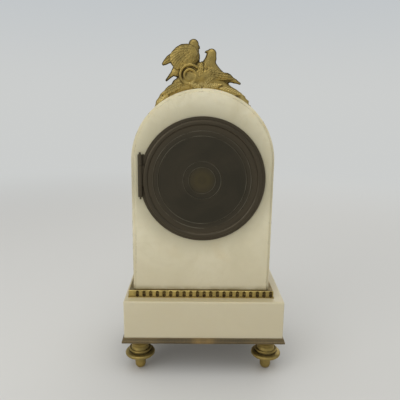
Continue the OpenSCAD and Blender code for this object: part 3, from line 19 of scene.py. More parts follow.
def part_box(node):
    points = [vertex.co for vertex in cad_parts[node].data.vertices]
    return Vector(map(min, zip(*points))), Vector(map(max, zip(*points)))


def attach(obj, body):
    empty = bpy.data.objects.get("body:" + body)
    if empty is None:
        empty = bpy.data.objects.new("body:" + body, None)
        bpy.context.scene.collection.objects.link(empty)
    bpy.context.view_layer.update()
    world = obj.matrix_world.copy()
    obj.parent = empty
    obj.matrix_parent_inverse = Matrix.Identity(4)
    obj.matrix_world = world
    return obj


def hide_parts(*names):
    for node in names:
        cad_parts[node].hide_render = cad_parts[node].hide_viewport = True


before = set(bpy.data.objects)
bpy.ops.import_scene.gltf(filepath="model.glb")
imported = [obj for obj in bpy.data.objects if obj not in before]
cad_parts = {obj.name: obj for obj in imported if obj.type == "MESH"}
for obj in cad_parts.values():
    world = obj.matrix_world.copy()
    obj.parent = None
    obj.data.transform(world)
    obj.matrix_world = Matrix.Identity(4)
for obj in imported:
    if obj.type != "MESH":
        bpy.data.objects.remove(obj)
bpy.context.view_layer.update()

MM = 0.001
FULL_TURN = 2.0 * math.pi

log = logging.getLogger("mantel_clock")

Triple = tuple[float, float, float]
Colour = Triple
Span = tuple[float, float]
Socket = bpy.types.NodeSocket
Value = Union[float, Socket]
Tone = Union[Colour, Socket]


class Slot(Enum):
    """The record's material slots."""

    ALABASTER = "alabaster"
    GILT = "gilt_brass"
    AGED = "aged_brass"
    IRON = "dull_iron"
    MOVEMENT = "movement_brass"
    WHEEL = "wheel_brass"
    STEEL = "polished_steel"
    BLUED = "blued_steel"
    ENAMEL = "enamel"
    GLASS = "glass"


def show(name: str, data: bpy.types.ID) -> bpy.types.Object:
    """Stands a mesh, a lamp or a camera in the scene.

    Args:
        name: The object's name.
        data: What it shows.

    Returns:
        The object.
    """
    thing = bpy.data.objects.new(name, data)
    bpy.context.scene.collection.objects.link(thing)
    return thing


# ------------------------------------------------------------------ drawing materials


@dataclass(frozen=True)
class Mottle:
    """Cloudy noise: its size and finer layers, and the values that give its least and most."""

    size: float
    detail: float
    low: float
    high: float
    twist: float = 0.0
    least: float = 0.0
    most: float = 1.0


class Tree:
    """A node tree, drawn from its patterns towards its output."""

    dull_rays: float = 0.5

    def __init__(self, tree: bpy.types.NodeTree) -> None:
        """Takes up the tree to draw in."""
        self.tree = tree

    def add(self, kind: str, inputs: Optional[dict] = None, **settings) -> bpy.types.Node:
        """Adds a node.

        Args:
            kind: The node's type.
            inputs: Values or sockets, by input name or number.
            **settings: The node's own properties.

        Returns:
            The new node.
        """
        node = self.tree.nodes.new(kind)
        for key, setting in settings.items():
            setattr(node, key, setting)
        for key, source in (inputs or {}).items():
            self.feed(node.inputs[key], source)
        return node

    def feed(self, target: Socket, source: Union[float, Tone]) -> None:
        """Links a socket to another, or sets its value.

        Args:
            target: The input to fill.
            source: A socket, a number or a colour.
        """
        if isinstance(source, bpy.types.NodeSocket):
            self.tree.links.new(source, target)
        elif target.type == "RGBA":
            target.default_value = (*source, 1.0)
        else:
            target.default_value = source

    def math(self, operation: str, a: Value, b: Value = 0.0, clamp: bool = False) -> Socket:
        """Works out one sum.

        Args:
            operation: The Math node's operation.
            a: The first value.
            b: The second value.
            clamp: Whether the result stays between 0 and 1.

        Returns:
            The result.
        """
        node = self.add("ShaderNodeMath", {0: a, 1: b}, operation=operation, use_clamp=clamp)
        return node.outputs[0]

    def vector(self, operation: str, *inputs: Union[Socket, Triple]) -> Socket:
        """Works with places: LENGTH and DOT_PRODUCT give a number, the rest a place."""
        node = self.add("ShaderNodeVectorMath", dict(enumerate(inputs)), operation=operation)
        return node.outputs["Value" if operation in ("LENGTH", "DOT_PRODUCT") else "Vector"]

    def upward(self, place: Socket) -> Socket:
        """Takes the upward part of a place or a direction."""
        return self.add("ShaderNodeSeparateXYZ", {0: place}).outputs["Z"]

    def between(self, value: Value, low: float, high: float, to_low: float = 0.0,
                to_high: float = 1.0) -> Socket:
        """Maps a range onto another, smoothly and without leaving it.

        Args:
            value: What is mapped.
            low: The value that gives to_low.
            high: The value that gives to_high.
            to_low: The result at low.
            to_high: The result at high.

        Returns:
            The mapped value.
        """
        node = self.add("ShaderNodeMapRange", {
            "Value": value, "From Min": low, "From Max": high, "To Min": to_low,
            "To Max": to_high}, interpolation_type="SMOOTHSTEP")
        return node.outputs["Result"]

    def mix(self, share: Value, a: Tone, b: Tone) -> Socket:
        """Blends two colours.

        Args:
            share: How much of b there is, 0 to 1.
            a: The first colour.
            b: The second colour.

        Returns:
            The blended colour.
        """
        node = self.add("ShaderNodeMix", data_type="RGBA")
        sockets = {s.identifier: s for s in (*node.inputs, *node.outputs)}
        for name, source in (("Factor_Float", share), ("A_Color", a), ("B_Color", b)):
            self.feed(sockets[name], source)
        return sockets["Result_Color"]

    def coat(self, under: Tone, over: Colour, most: Value, share: Value) -> Socket:
        """Lays a thin colour over another.

        Args:
            under: The colour beneath.
            over: The colour on top.
            most: The most of it that shows.
            share: Where it lies, 0 to 1.

        Returns:
            The blended colour.
        """
        return self.mix(self.math("MULTIPLY", share, most), under, over)

    def looked_at(self) -> Socket:
        """Tells rays that look straight at a surface from rays that only carry light.

        Returns:
            1 for camera, mirrored and transmitted rays that no dull surface has scattered yet, 0
            for the rest.
        """
        path = self.add("ShaderNodeLightPath").outputs
        total = path["Is Camera Ray"]
        for name in ("Is Glossy Ray", "Is Transmission Ray"):
            total = self.math("MAXIMUM", total, path[name])
        unscattered = self.math("LESS_THAN", path["Diffuse Depth"], self.dull_rays)
        return self.math("MULTIPLY", total, unscattered)

    def choose(self, share: Value, a: bpy.types.Node, b: bpy.types.Node) -> Socket:
        """Picks between two shaders: a where share is 0, b where it is 1."""
        inputs = {0: share, 1: a.outputs[0], 2: b.outputs[0]}
        return self.add("ShaderNodeMixShader", inputs).outputs[0]


class Sketch(Tree):
    """A material's node tree, drawn from its colours towards its Principled shader."""

    edge_turn: Span = (0.97, 0.75)
    ledge_tilt: Span = (0.6, 0.95)
    sway_size: float = 0.03
    sway_rings: float = 2.0

    def __init__(self, name: str) -> None:
        """Starts an empty material.

        Args:
            name: The finish's plain name.
        """
        self.material = bpy.data.materials.new(name)
        self.material.use_nodes = True
        super().__init__(self.material.node_tree)
        self.shader = self.tree.nodes["Principled BSDF"]
        self.object_place = self.add("ShaderNodeTexCoord").outputs["Object"]

    def noise(self, size: float, detail: float = 3.0, twist: float = 0.0,
              stretch: Triple = (1.0, 1.0, 1.0)) -> Socket:
        """Draws cloudy noise.

        Args:
            size: The width of one cloud.
            detail: How many finer layers it has.
            twist: How far it is distorted.
            stretch: How many times the pattern repeats along each axis.

        Returns:
            The noise's value, about 0.5 on average.
        """
        mapping = self.add("ShaderNodeMapping", {"Vector": self.object_place, "Scale": stretch})
        node = self.add("ShaderNodeTexNoise", {
            "Vector": mapping.outputs["Vector"], "Scale": 1.0 / size, "Detail": detail,
            "Distortion": twist})
        return node.outputs["Fac"]

    def mottle(self, kind: Mottle) -> Socket:
        """Draws cloudy noise with its middle values spread out."""
        cloud = self.noise(kind.size, kind.detail, kind.twist)
        return self.between(cloud, kind.low, kind.high, kind.least, kind.most)

    def line(self, value: Value, at: float, width: float, core: float = 0.0) -> Socket:
        """Draws a line where a value passes a mark: 1 within core of it, 0 beyond width."""
        off = self.math("ABSOLUTE", self.math("SUBTRACT", value, at))
        return self.between(off, width, core)

    def hollow(self, reach: float) -> Socket:
        """Finds corners and recesses.

        Args:
            reach: How far apart the two walls of a recess may be.

        Returns:
            0 on open faces, towards 1 deep in a recess.
        """
        true = self.add("ShaderNodeNewGeometry").outputs["True Normal"]
        node = self.add("ShaderNodeAmbientOcclusion", {"Distance": reach, "Normal": true},
                        samples=8, only_local=True)
        return self.math("SUBTRACT", 1.0, node.outputs["AO"], clamp=True)

    def edge(self, width: float) -> Socket:
        """Finds worn edges.

        Args:
            width: How far from an edge the wear reaches.

        Returns:
            0 on flat faces, towards 1 on an edge.
        """
        soft = self.add("ShaderNodeBevel", {"Radius": width}, samples=4).outputs["Normal"]
        true = self.add("ShaderNodeNewGeometry").outputs["Normal"]
        return self.between(self.vector("DOT_PRODUCT", soft, true), *self.edge_turn)

    def radius(self, centre: Vector) -> Socket:
        """Measures the distance from an axis that runs front to back.

        Args:
            centre: Any point on the axis.

        Returns:
            The distance, in metres.
        """
        place = self.vector("SUBTRACT", self.object_place, tuple(centre))
        return self.vector("LENGTH", self.vector("MULTIPLY", place, (1.0, 0.0, 1.0)))

    def ledge(self) -> Socket:
        """Finds faces that look up, where dust settles: 0 on walls, 1 on ledges."""
        normal = self.add("ShaderNodeNewGeometry").outputs["Normal"]
        return self.between(self.upward(normal), *self.ledge_tilt)

    def rings(self, radius: Socket, size: float) -> Socket:
        """Draws the brushed rings that a lathe leaves.

        Args:
            radius: The distance from the axis.
            size: The width of one ring.

        Returns:
            The rings' value, about 0.5 on average.
        """
        sway = self.math("MULTIPLY", self.noise(self.sway_size, 1.0), self.sway_rings * size)
        place = self.add("ShaderNodeCombineXYZ", {"X": self.math("ADD", radius, sway)})
        node = self.add("ShaderNodeTexNoise", {
            "Vector": place.outputs["Vector"], "Scale": 1.0 / size, "Detail": 2.0})
        return node.outputs["Fac"]

    def bump(self, depths: Sequence[float], *heights: Socket) -> Socket:
        """Stacks relief.

        Args:
            depths: Each layer's depth.
            *heights: Each layer's height pattern, 0 to 1.

        Returns:
            The relief's normal.
        """
        below = {}
        for height, depth in zip(heights, depths):
            node = self.add("ShaderNodeBump", {"Height": height, "Distance": depth, **below})
            below = {"Normal": node.outputs["Normal"]}
        return below["Normal"]

    def finish(self, **inputs: Union[float, Tone]) -> bpy.types.Material:
        """Fills the shader.

        Args:
            **inputs: Values or sockets, by input name with _ for a space.

        Returns:
            The finished material.
        """
        for key, source in inputs.items():
            self.feed(self.shader.inputs[key.replace("_", " ")], source)
        return self.material


class Finish(Protocol):
    """Anything that can make its own material."""

    def material(self) -> bpy.types.Material:
        """Makes the material."""


@dataclass(frozen=True)
class Alabaster:
    """Cream alabaster: soft clouds, hardly any veins, chipped edges, painted shade round the bore.
    """

    ring_centre: Vector
    seam_h: float
    name: str = "alabaster"
    light: Colour = (0.785, 0.73, 0.535)
    shade: Colour = (0.665, 0.605, 0.41)
    clouds: Mottle = Mottle(0.045, 4.0, 0.35, 0.68, twist=0.6)
    specks: Mottle = Mottle(0.006, 3.0, 0.42, 0.7)
    speck_share: float = 0.35
    blush: Colour = (0.70, 0.575, 0.33)
    blushes: Mottle = Mottle(0.03, 2.0, 0.57, 0.72, twist=0.3)
    blush_share: float = 0.45
    vein: Colour = (0.60, 0.53, 0.32)
    veins: Triple = (0.07, 5.0, 1.6)
    vein_mark: float = 0.5
    vein_w: float = 0.012
    vein_share: float = 0.2
    # Painted shade: the stone drawn darker round the bore's ring.
    thin: Colour = (0.46, 0.42, 0.28)
    bore_shade_at: Span = (0.0625, 0.0455)
    bore_shade_share: float = 0.75
    # Painted shade: the stone drawn darker towards the bottom.
    low_shade: Colour = (0.60, 0.53, 0.36)
    low_shade_at: Span = (0.150, 0.030)
    low_shade_share: float = 0.95
    # Darker along the seam with the foot frame, in spots, and on ledges just above it.
    seam_dark: Colour = (0.40, 0.335, 0.18)
    seam_dark_spots: Mottle = Mottle(0.007, 3.0, 0.34, 0.62, least=0.25, most=0.75)
    seam_fade: float = 0.004
    ledge_band_fade: float = 0.01
    ledge_band_share: float = 0.5
    soil: Colour = (0.20, 0.155, 0.085)
    chips: Mottle = Mottle(0.0045, 3.0, 0.56, 0.63, least=0.12, most=0.85)
    chip_w: float = 0.0009
    roughness: Span = (0.36, 0.48)
    scatter: Triple = (1.0, 0.8, 0.5)
    relief: Triple = (0.0001, 0.00004, 0.00003)

    def material(self) -> bpy.types.Material:
        """Makes the material.

        Returns:
            The finished material.
        """
        sketch = Sketch(self.name)
        cloud, speck, chip = map(sketch.mottle, (self.clouds, self.specks, self.chips))
        height = sketch.upward(sketch.object_place)
        body = sketch.mix(cloud, self.light, self.shade)
        body = sketch.coat(body, self.shade, self.speck_share, speck)
        body = sketch.coat(body, self.blush, self.blush_share, sketch.mottle(self.blushes))
        vein = sketch.line(sketch.noise(*self.veins), self.vein_mark, self.vein_w)
        body = sketch.coat(body, self.vein, self.vein_share, vein)
        # Painted shade round the bore's ring.
        near = sketch.between(sketch.radius(self.ring_centre), *self.bore_shade_at)
        body = sketch.coat(body, self.thin, self.bore_shade_share, near)
        # Painted shade towards the bottom.
        low = sketch.between(height, *self.low_shade_at, 0.0, self.low_shade_share)
        body = sketch.mix(low, body, self.low_shade)
        # Darker along the seam with the foot frame, in spots.
        seam = sketch.line(height, self.seam_h, self.seam_fade)
        body = sketch.coat(body, self.seam_dark, sketch.mottle(self.seam_dark_spots), seam)
        # Darker on ledges just above the seam.
        ledge_band = sketch.between(height, self.seam_h + self.ledge_band_fade, self.seam_h, 0.0,
                               self.ledge_band_share)
        body = sketch.coat(body, self.seam_dark, ledge_band, sketch.ledge())
        body = sketch.coat(body, self.soil, chip, sketch.edge(self.chip_w))
        return sketch.finish(
            Base_Color=body, Roughness=sketch.between(cloud, 0.0, 1.0, *self.roughness),
            Subsurface_Weight=0.18, Subsurface_Radius=self.scatter, Subsurface_Scale=0.003,
            Specular_IOR_Level=0.4, IOR=1.52, Normal=sketch.bump(self.relief, cloud, speck, chip))


@dataclass(frozen=True)
class GiltBrass:
    """Cast brass under old fire gilding, dark in hollows, rubbed high, with painted rim shade and
    foot light.
    """

    name: str = "gilt_brass"
    gold: Colour = (0.41, 0.295, 0.089)
    dull: Colour = (0.29, 0.218, 0.074)
    tarnishes: Mottle = Mottle(0.012, 4.0, 0.36, 0.64, twist=0.4)
    grit_size: float = 0.0011
    # Rubbed gilding on high places and edges; on the crest this also carries painted light at its
    # foot.
    rubbed: Colour = (0.60, 0.47, 0.19)
    rubbed_and_lit_share: float = 0.7
    high_and_foot_light: Span = (-0.05, -0.22)
    edge_w: float = 0.0005
    edge_share: float = 0.6
    # Patina in hollows; on the crest this also carries painted shade along its rims and outline.
    patina_and_shade: Colour = (0.05, 0.034, 0.014)
    patina_and_shade_share: float = 0.92
    deep_and_rim_shade: Span = (0.02, 0.22)
    recess_reach: float = 0.0032
    recess_from: Span = (0.22, 0.62)
    dust: float = 0.0
    roughness: Span = (0.42, 0.58)
    deep_roughness: float = 0.2
    relief: Span = (0.00005, 0.00004)

    def material(self) -> bpy.types.Material:
        """Makes the material.

        Returns:
            The finished material.
        """
        sketch = Sketch(self.name)
        tarnish = sketch.mottle(self.tarnishes)
        # The crest's painted measure: its hollows and high places, plus painted rim shade and
        # painted foot light.
        painted = sketch.add("ShaderNodeAttribute", attribute_name="hollow").outputs["Fac"]
        recess = sketch.between(sketch.hollow(self.recess_reach), *self.recess_from)
        deep = sketch.math("MAXIMUM", sketch.between(painted, *self.deep_and_rim_shade), recess)
        worn = sketch.math("MULTIPLY", sketch.edge(self.edge_w), self.edge_share)
        high = sketch.math("MAXIMUM", sketch.between(painted, *self.high_and_foot_light), worn)
        metal = sketch.mix(tarnish, self.gold, self.dull)
        metal = sketch.coat(metal, self.rubbed, self.rubbed_and_lit_share, high)
        metal = sketch.coat(metal, self.patina_and_shade, self.patina_and_shade_share, deep)
        metal = sketch.coat(metal, self.patina_and_shade, self.dust, sketch.ledge())
        rough = sketch.math("ADD", sketch.between(tarnish, 0.0, 1.0, *self.roughness),
                            sketch.math("MULTIPLY", deep, self.deep_roughness), clamp=True)
        return sketch.finish(
            Base_Color=metal, Metallic=0.9, Roughness=rough,
            Normal=sketch.bump(self.relief, sketch.noise(self.grit_size), tarnish))


@dataclass(frozen=True)
class AgedBrass:
    """Turned brass gone nearly black: brushed rings, painted highlights on cut lines, a warmer
    middle.
    """

    centre: Vector
    name: str = "aged_brass"
    dark: Colour = (0.042, 0.037, 0.026)
    brown: Colour = (0.084, 0.067, 0.044)
    warm: Colour = (0.078, 0.062, 0.030)
    rubbed: Colour = (0.20, 0.155, 0.085)
    # Painted highlight: the turned lines drawn bright, as if catching the light.
    line: Colour = (0.17, 0.155, 0.115)
    rim_from: Span = (0.030, 0.0415)
    rim_share: float = 0.85
    middle_to: Span = (0.0125, 0.004)
    middle_share: float = 0.9
    stains: Mottle = Mottle(0.02, 4.0, 0.34, 0.66, twist=0.5)
    stain_share: float = 0.28
    brushed_w: float = 0.0007
    brushed_from: Span = (0.4, 0.7)
    brushed_share: float = 0.22
    wide_w: float = 0.004
    wide_from: Span = (0.45, 0.7)
    wide_share: float = 0.3
    line_r: tuple[float, ...] = (0.0360, 0.0324, 0.01395, 0.0098)
    line_w: float = 0.00032
    line_core: float = 0.3
    highlight_breaks: Mottle = Mottle(0.012, 2.0, 0.35, 0.65, least=0.2, most=0.75)
    edge_w: float = 0.0004
    edge_share: float = 0.45
    roughness: Span = (0.40, 0.52)
    grain_size: float = 0.0015
    relief: Span = (0.00002, 0.00003)

    def material(self) -> bpy.types.Material:
        """Makes the material.

        Returns:
            The finished material.
        """
        sketch = Sketch(self.name)
        radius = sketch.radius(self.centre)
        stain = sketch.mottle(self.stains)
        brushed, wide = (sketch.rings(radius, size) for size in (self.brushed_w, self.wide_w))
        metal = sketch.coat(self.dark, self.brown, self.rim_share,
                            sketch.between(radius, *self.rim_from))
        middle = sketch.between(radius, *self.middle_to, 0.0, self.middle_share)
        metal = sketch.mix(middle, metal, self.warm)
        metal = sketch.coat(metal, self.brown, self.stain_share, stain)
        metal = sketch.coat(metal, self.warm, self.brushed_share,
                            sketch.between(brushed, *self.brushed_from))
        metal = sketch.coat(metal, self.dark, self.wide_share,
                            sketch.between(wide, *self.wide_from))
        # Painted highlights along the turned lines, broken here and there.
        for line_r in self.line_r:
            cut = sketch.line(radius, line_r, self.line_w, self.line_core * self.line_w)
            metal = sketch.coat(metal, self.line, sketch.mottle(self.highlight_breaks), cut)
        metal = sketch.coat(metal, self.rubbed, self.edge_share, sketch.edge(self.edge_w))
        return sketch.finish(
            Base_Color=metal, Metallic=0.85,
            Roughness=sketch.between(stain, 0.0, 1.0, *self.roughness),
            Normal=sketch.bump(self.relief, brushed, sketch.noise(self.grain_size, 2.0)))


@dataclass(frozen=True)
class BrightMetal:
    """A worked metal with a fine straight grain, a little colour variation and rubbed edges."""

    name: str
    base: Colour
    dull: Colour
    edge_colour: Colour
    roughness: Span = (0.22, 0.36)
    grain: Triple = (1.0, 1.0, 14.0)
    grain_size: float = 0.0025
    grain_from: Span = (0.3, 0.7)
    stains: Mottle = Mottle(0.008, 4.0, 0.38, 0.66, twist=0.3)
    edge_w: float = 0.0002
    edge_share: float = 0.5
    recess_reach: float = 0.0015
    recess_from: Span = (0.35, 0.8)
    recess_share: float = 0.5
    recess_light: float = 0.35
    relief: Span = (0.000006, 0.00001)

    def material(self) -> bpy.types.Material:
        """Makes the material.

        Returns:
            The finished material.
        """
        sketch = Sketch(self.name)
        stain = sketch.mottle(self.stains)
        hair = sketch.noise(self.grain_size, 2.0, 0.0, self.grain)
        deep = sketch.between(sketch.hollow(self.recess_reach), *self.recess_from)
        metal = sketch.mix(stain, self.base, self.dull)
        metal = sketch.coat(metal, self.edge_colour, self.edge_share, sketch.edge(self.edge_w))
        metal = sketch.coat(metal, tuple(self.recess_light * c for c in self.dull),
                            self.recess_share, deep)
        return sketch.finish(
            Base_Color=metal, Metallic=1.0,
            Roughness=sketch.between(hair, *self.grain_from, *self.roughness),
            Normal=sketch.bump(self.relief, hair, stain))


@dataclass(frozen=True)
class TurnedMetal:
    """A bright metal with circular grain round one axis, as a lathe leaves it."""

    name: str
    centre: Vector
    base: Colour = (0.76, 0.60, 0.29)
    dull: Colour = (0.66, 0.50, 0.22)
    pitch: float = 0.00035
    turned_share: float = 0.15
    stains: Mottle = Mottle(0.006, 3.0, 0.38, 0.66, twist=0.3)
    roughness: Span = (0.22, 0.34)
    relief: Span = (0.000005, 0.00001)

    def material(self) -> bpy.types.Material:
        """Makes the material.

        Returns:
            The finished material.
        """
        sketch = Sketch(self.name)
        stain = sketch.mottle(self.stains)
        wave = sketch.math("MULTIPLY", sketch.radius(self.centre), FULL_TURN / self.pitch)
        turned = sketch.between(sketch.math("SINE", wave), -1.0, 1.0)
        metal = sketch.mix(stain, self.base, self.dull)
        metal = sketch.coat(metal, self.dull, self.turned_share, turned)
        return sketch.finish(
            Base_Color=metal, Metallic=1.0,
            Roughness=sketch.between(turned, 0.0, 1.0, *self.roughness),
            Normal=sketch.bump(self.relief, turned, stain))


@dataclass(frozen=True)
class Enamel:
    """White fired enamel with a faint cream cast and the thinnest crazing."""

    name: str = "enamel"
    white: Colour = (0.80, 0.785, 0.73)
    cream: Colour = (0.74, 0.715, 0.63)
    clouds: Mottle = Mottle(0.03, 3.0, 0.35, 0.7)
    craze: Colour = (0.50, 0.46, 0.38)
    cells_per_m: float = 90.0
    craze_w: float = 0.012
    craze_at: Mottle = Mottle(0.02, 2.0, 0.6, 0.72)
    craze_share: float = 0.5
    roughness: Span = (0.12, 0.2)
    relief: tuple[float, ...] = (0.00006,)

    def material(self) -> bpy.types.Material:
        """Makes the material.

        Returns:
            The finished material.
        """
        sketch = Sketch(self.name)
        cloud = sketch.mottle(self.clouds)
        cells = sketch.add("ShaderNodeTexVoronoi", {
            "Vector": sketch.object_place, "Scale": self.cells_per_m}, feature="DISTANCE_TO_EDGE")
        line = sketch.between(cells.outputs["Distance"], self.craze_w, 0.0)
        cracks = sketch.math("MULTIPLY", line, sketch.mottle(self.craze_at))
        base = sketch.mix(cloud, self.white, self.cream)
        return sketch.finish(
            Base_Color=sketch.coat(base, self.craze, self.craze_share, cracks),
            Roughness=sketch.between(cloud, 0.0, 1.0, *self.roughness),
            Coat_Weight=0.4, Coat_Roughness=0.06, Normal=sketch.bump(self.relief, cloud))


@dataclass(frozen=True)
class Paint:
    """Black vitreous paint of the numerals and the minute track."""

    name: str = "dial_paint"
    black: Colour = (0.018, 0.016, 0.016)
    worn: Colour = (0.06, 0.055, 0.05)
    wear: Mottle = Mottle(0.002, 3.0, 0.45, 0.7)
    roughness: Span = (0.22, 0.4)
    relief: tuple[float, ...] = (0.00001,)

    def material(self) -> bpy.types.Material:
        """Makes the material.

        Returns:
            The finished material.
        """
        sketch = Sketch(self.name)
        wear = sketch.mottle(self.wear)
        return sketch.finish(
            Base_Color=sketch.mix(wear, self.black, self.worn),
            Roughness=sketch.between(wear, 0.0, 1.0, *self.roughness),
            Normal=sketch.bump(self.relief, wear))


@dataclass(frozen=True)
class Glass:
    """Thin clear glass with a breath of green and a little dust."""

    name: str = "glass"
    tint: Colour = (0.97, 0.985, 0.975)
    dust: Mottle = Mottle(0.01, 4.0, 0.5, 0.8)
    roughness: Span = (0.0, 0.03)
    wave_size: float = 0.02
    relief: tuple[float, ...] = (0.00001,)

    def material(self) -> bpy.types.Material:
        """Makes the material.

        Returns:
            The finished material.
        """
        sketch = Sketch(self.name)
        return sketch.finish(
            Base_Color=self.tint, Transmission_Weight=1.0, IOR=1.46,
            Roughness=sketch.between(sketch.mottle(self.dust), 0.0, 1.0, *self.roughness),
            Normal=sketch.bump(self.relief, sketch.noise(self.wave_size, 1.0)))


# ------------------------------------------------------------------ studio


@dataclass(frozen=True)
class Lamp:
    """A soft square lamp."""

    name: str
    place: Triple
    side: float
    watts: float
    tint: Colour = (1.0, 1.0, 1.0)

    def hang(self, aim: Triple) -> None:
        """Hangs the lamp.

        Args:
            aim: The point that it faces.
        """
        data = bpy.data.lights.new(self.name, "AREA")
        data.shape = "SQUARE"
        data.size, data.energy, data.color = self.side, self.watts, self.tint
        lamp = show(self.name, data)
        lamp.location = self.place
        lamp.rotation_mode = "QUATERNION"
        lamp.rotation_quaternion = (Vector(aim) - Vector(self.place)).to_track_quat("-Z", "Y")


@dataclass
class Studio:
    """Camera, pale floor, soft lamps and an even surround."""

    camera_place: Triple = (0.006180, 0.354686, 0.209154)
    camera_turn_deg: Triple = (77.60470753, -0.70905289, 179.37636612)
    lens_mm: float = 40.2709
    sensor_mm: float = 36.0
    clip: Span = (0.01, 20.0)
    floor_r: float = 2.6
    floor_corners: int = 96
    floor_fade: Span = (0.42, 1.1)
    floor_colour: Colour = (0.62, 0.615, 0.59)
    horizon: Colour = (0.600, 0.612, 0.605)
    zenith: Colour = (0.518, 0.550, 0.575)
    zenith_at: float = 0.3
    ambient: Colour = (0.665, 0.67, 0.675)
    aim: Triple = (0.0, 0.0, 0.13)
    lamps: tuple[Lamp, ...] = (Lamp("top", (0.05, 0.30, 1.2), 0.9, 3.8, (1.0, 0.99, 0.97)),
                               Lamp("fill", (0.46, 0.46, 0.42), 0.45, 0.95),
                               Lamp("front", (-0.5, -1.15, 0.6), 0.9, 2.6))

    def camera(self) -> None:
        """Sets the camera."""
        data = bpy.data.cameras.new("camera")
        data.lens, data.sensor_width = self.lens_mm, self.sensor_mm
        data.clip_start, data.clip_end = self.clip
        viewer = show("camera", data)
        viewer.location = Vector(self.camera_place) + Vector((centre_of("case_body").x, 0.0, 0.0))
        viewer.rotation_euler = Euler([math.radians(a) for a in self.camera_turn_deg], "XYZ")
        bpy.context.scene.camera = viewer

    def world(self) -> None:
        """Makes the surround: even light, and a pale backdrop for what looks straight at it."""
        world = bpy.data.worlds.new("surround")
        world.use_nodes = True
        bpy.context.scene.world = world
        world.node_tree.nodes.clear()
        tree = Tree(world.node_tree)
        height = tree.upward(tree.add("ShaderNodeTexCoord").outputs["Generated"])
        sky = tree.mix(tree.between(height, 0.0, self.zenith_at), self.horizon, self.zenith)
        lit, seen = (tree.add("ShaderNodeBackground", {"Color": c}) for c in (self.ambient, sky))
        tree.add("ShaderNodeOutputWorld", {"Surface": tree.choose(tree.looked_at(), lit, seen)})

    def floor(self) -> None:
        """Makes the floor: it takes shadows near the clock and melts into the backdrop."""
        turns = [FULL_TURN * i / self.floor_corners for i in range(self.floor_corners)]
        rim = [(self.floor_r * math.cos(t), self.floor_r * math.sin(t), 0.0) for t in turns]
        mesh = bpy.data.meshes.new("floor")
        mesh.from_pydata(rim, [], [tuple(range(len(rim)))])
        floor = show("floor", mesh)
        sketch = Sketch("floor")
        mesh.materials.append(sketch.finish(Base_Color=self.floor_colour, Roughness=0.9,
                                            Specular_IOR_Level=0.1))
        fade = sketch.between(sketch.vector("LENGTH", sketch.object_place), *self.floor_fade)
        share = sketch.math("MULTIPLY", fade, sketch.looked_at())
        glow = sketch.add("ShaderNodeEmission", {"Color": self.horizon})
        sketch.feed(sketch.tree.nodes["Material Output"].inputs["Surface"],
                    sketch.choose(share, sketch.shader, glow))

    def build(self) -> None:
        """Sets the whole studio up."""
        bpy.context.scene.view_settings.view_transform = "Standard"
        self.camera()
        self.world()
        self.floor()
        for lamp in self.lamps:
            lamp.hang(self.aim)


# ------------------------------------------------------------------ sculpting

Point = tuple[float, float]
Ball = Triple
CORNERS = tuple(itertools.product((0, 1), repeat=3))


def melt(a: np.ndarray, b: np.ndarray, reach: float) -> np.ndarray:
    """Joins two solids with a soft fillet.

    Args:
        a: The first solid's distance field.
        b: The second's.
        reach: The fillet's size.

    Returns:
        The joined field.
    """
    share = np.clip(0.5 + 0.5 * (b - a) / reach, 0.0, 1.0)
    return b + (a - b) * share - reach * share * (1.0 - share)


def ease(value: np.ndarray, low: float, high: float) -> np.ndarray:
    """Rises smoothly from 0 at low to 1 at high."""
    t = np.clip((value - low) / (high - low), 0.0, 1.0)
    return t * t * (3.0 - 2.0 * t)


def bell(value: np.ndarray, height: float, width: float) -> np.ndarray:
    """Draws a soft bump of a given height round 0."""
    return height * np.exp(-(value / width) ** 2)


@dataclass(frozen=True)
class Comb:
    """Long feathers side by side: the middle one's two ends, their pitch and their relief."""

    start: Point
    end: Point
    pitch: float
    lift: float


@dataclass(frozen=True)
class Fan:
    """Rows of feathers that spread from a joint: each row's start and length, nearest first."""

    hinge: Point
    rows: tuple[Point, ...]
    width: float
    lift: float
    sweep: float = 0.022
    round_tip: float = 0.45
    bow: float = 0.45
    quill: Span = (0.3, 0.16)


@dataclass(frozen=True)
class LeafForm:
    """The relief of a leaf: notched rim, side veins, and a rib between two grooves."""

    notches: float = 4.5
    notch_deep: float = 0.22
    fullness: Span = (0.75, 0.8)
    vein_pitch: float = 1.9
    vein_slant: float = 0.9
    vein_lift: float = 0.16
    rib: Span = (0.5, 0.4)
    groove: Span = (0.35, 1.1)
    thick: float = 0.7
    swell: float = 0.35
    swell_over: float = 1.6
    deepest: float = 2.0


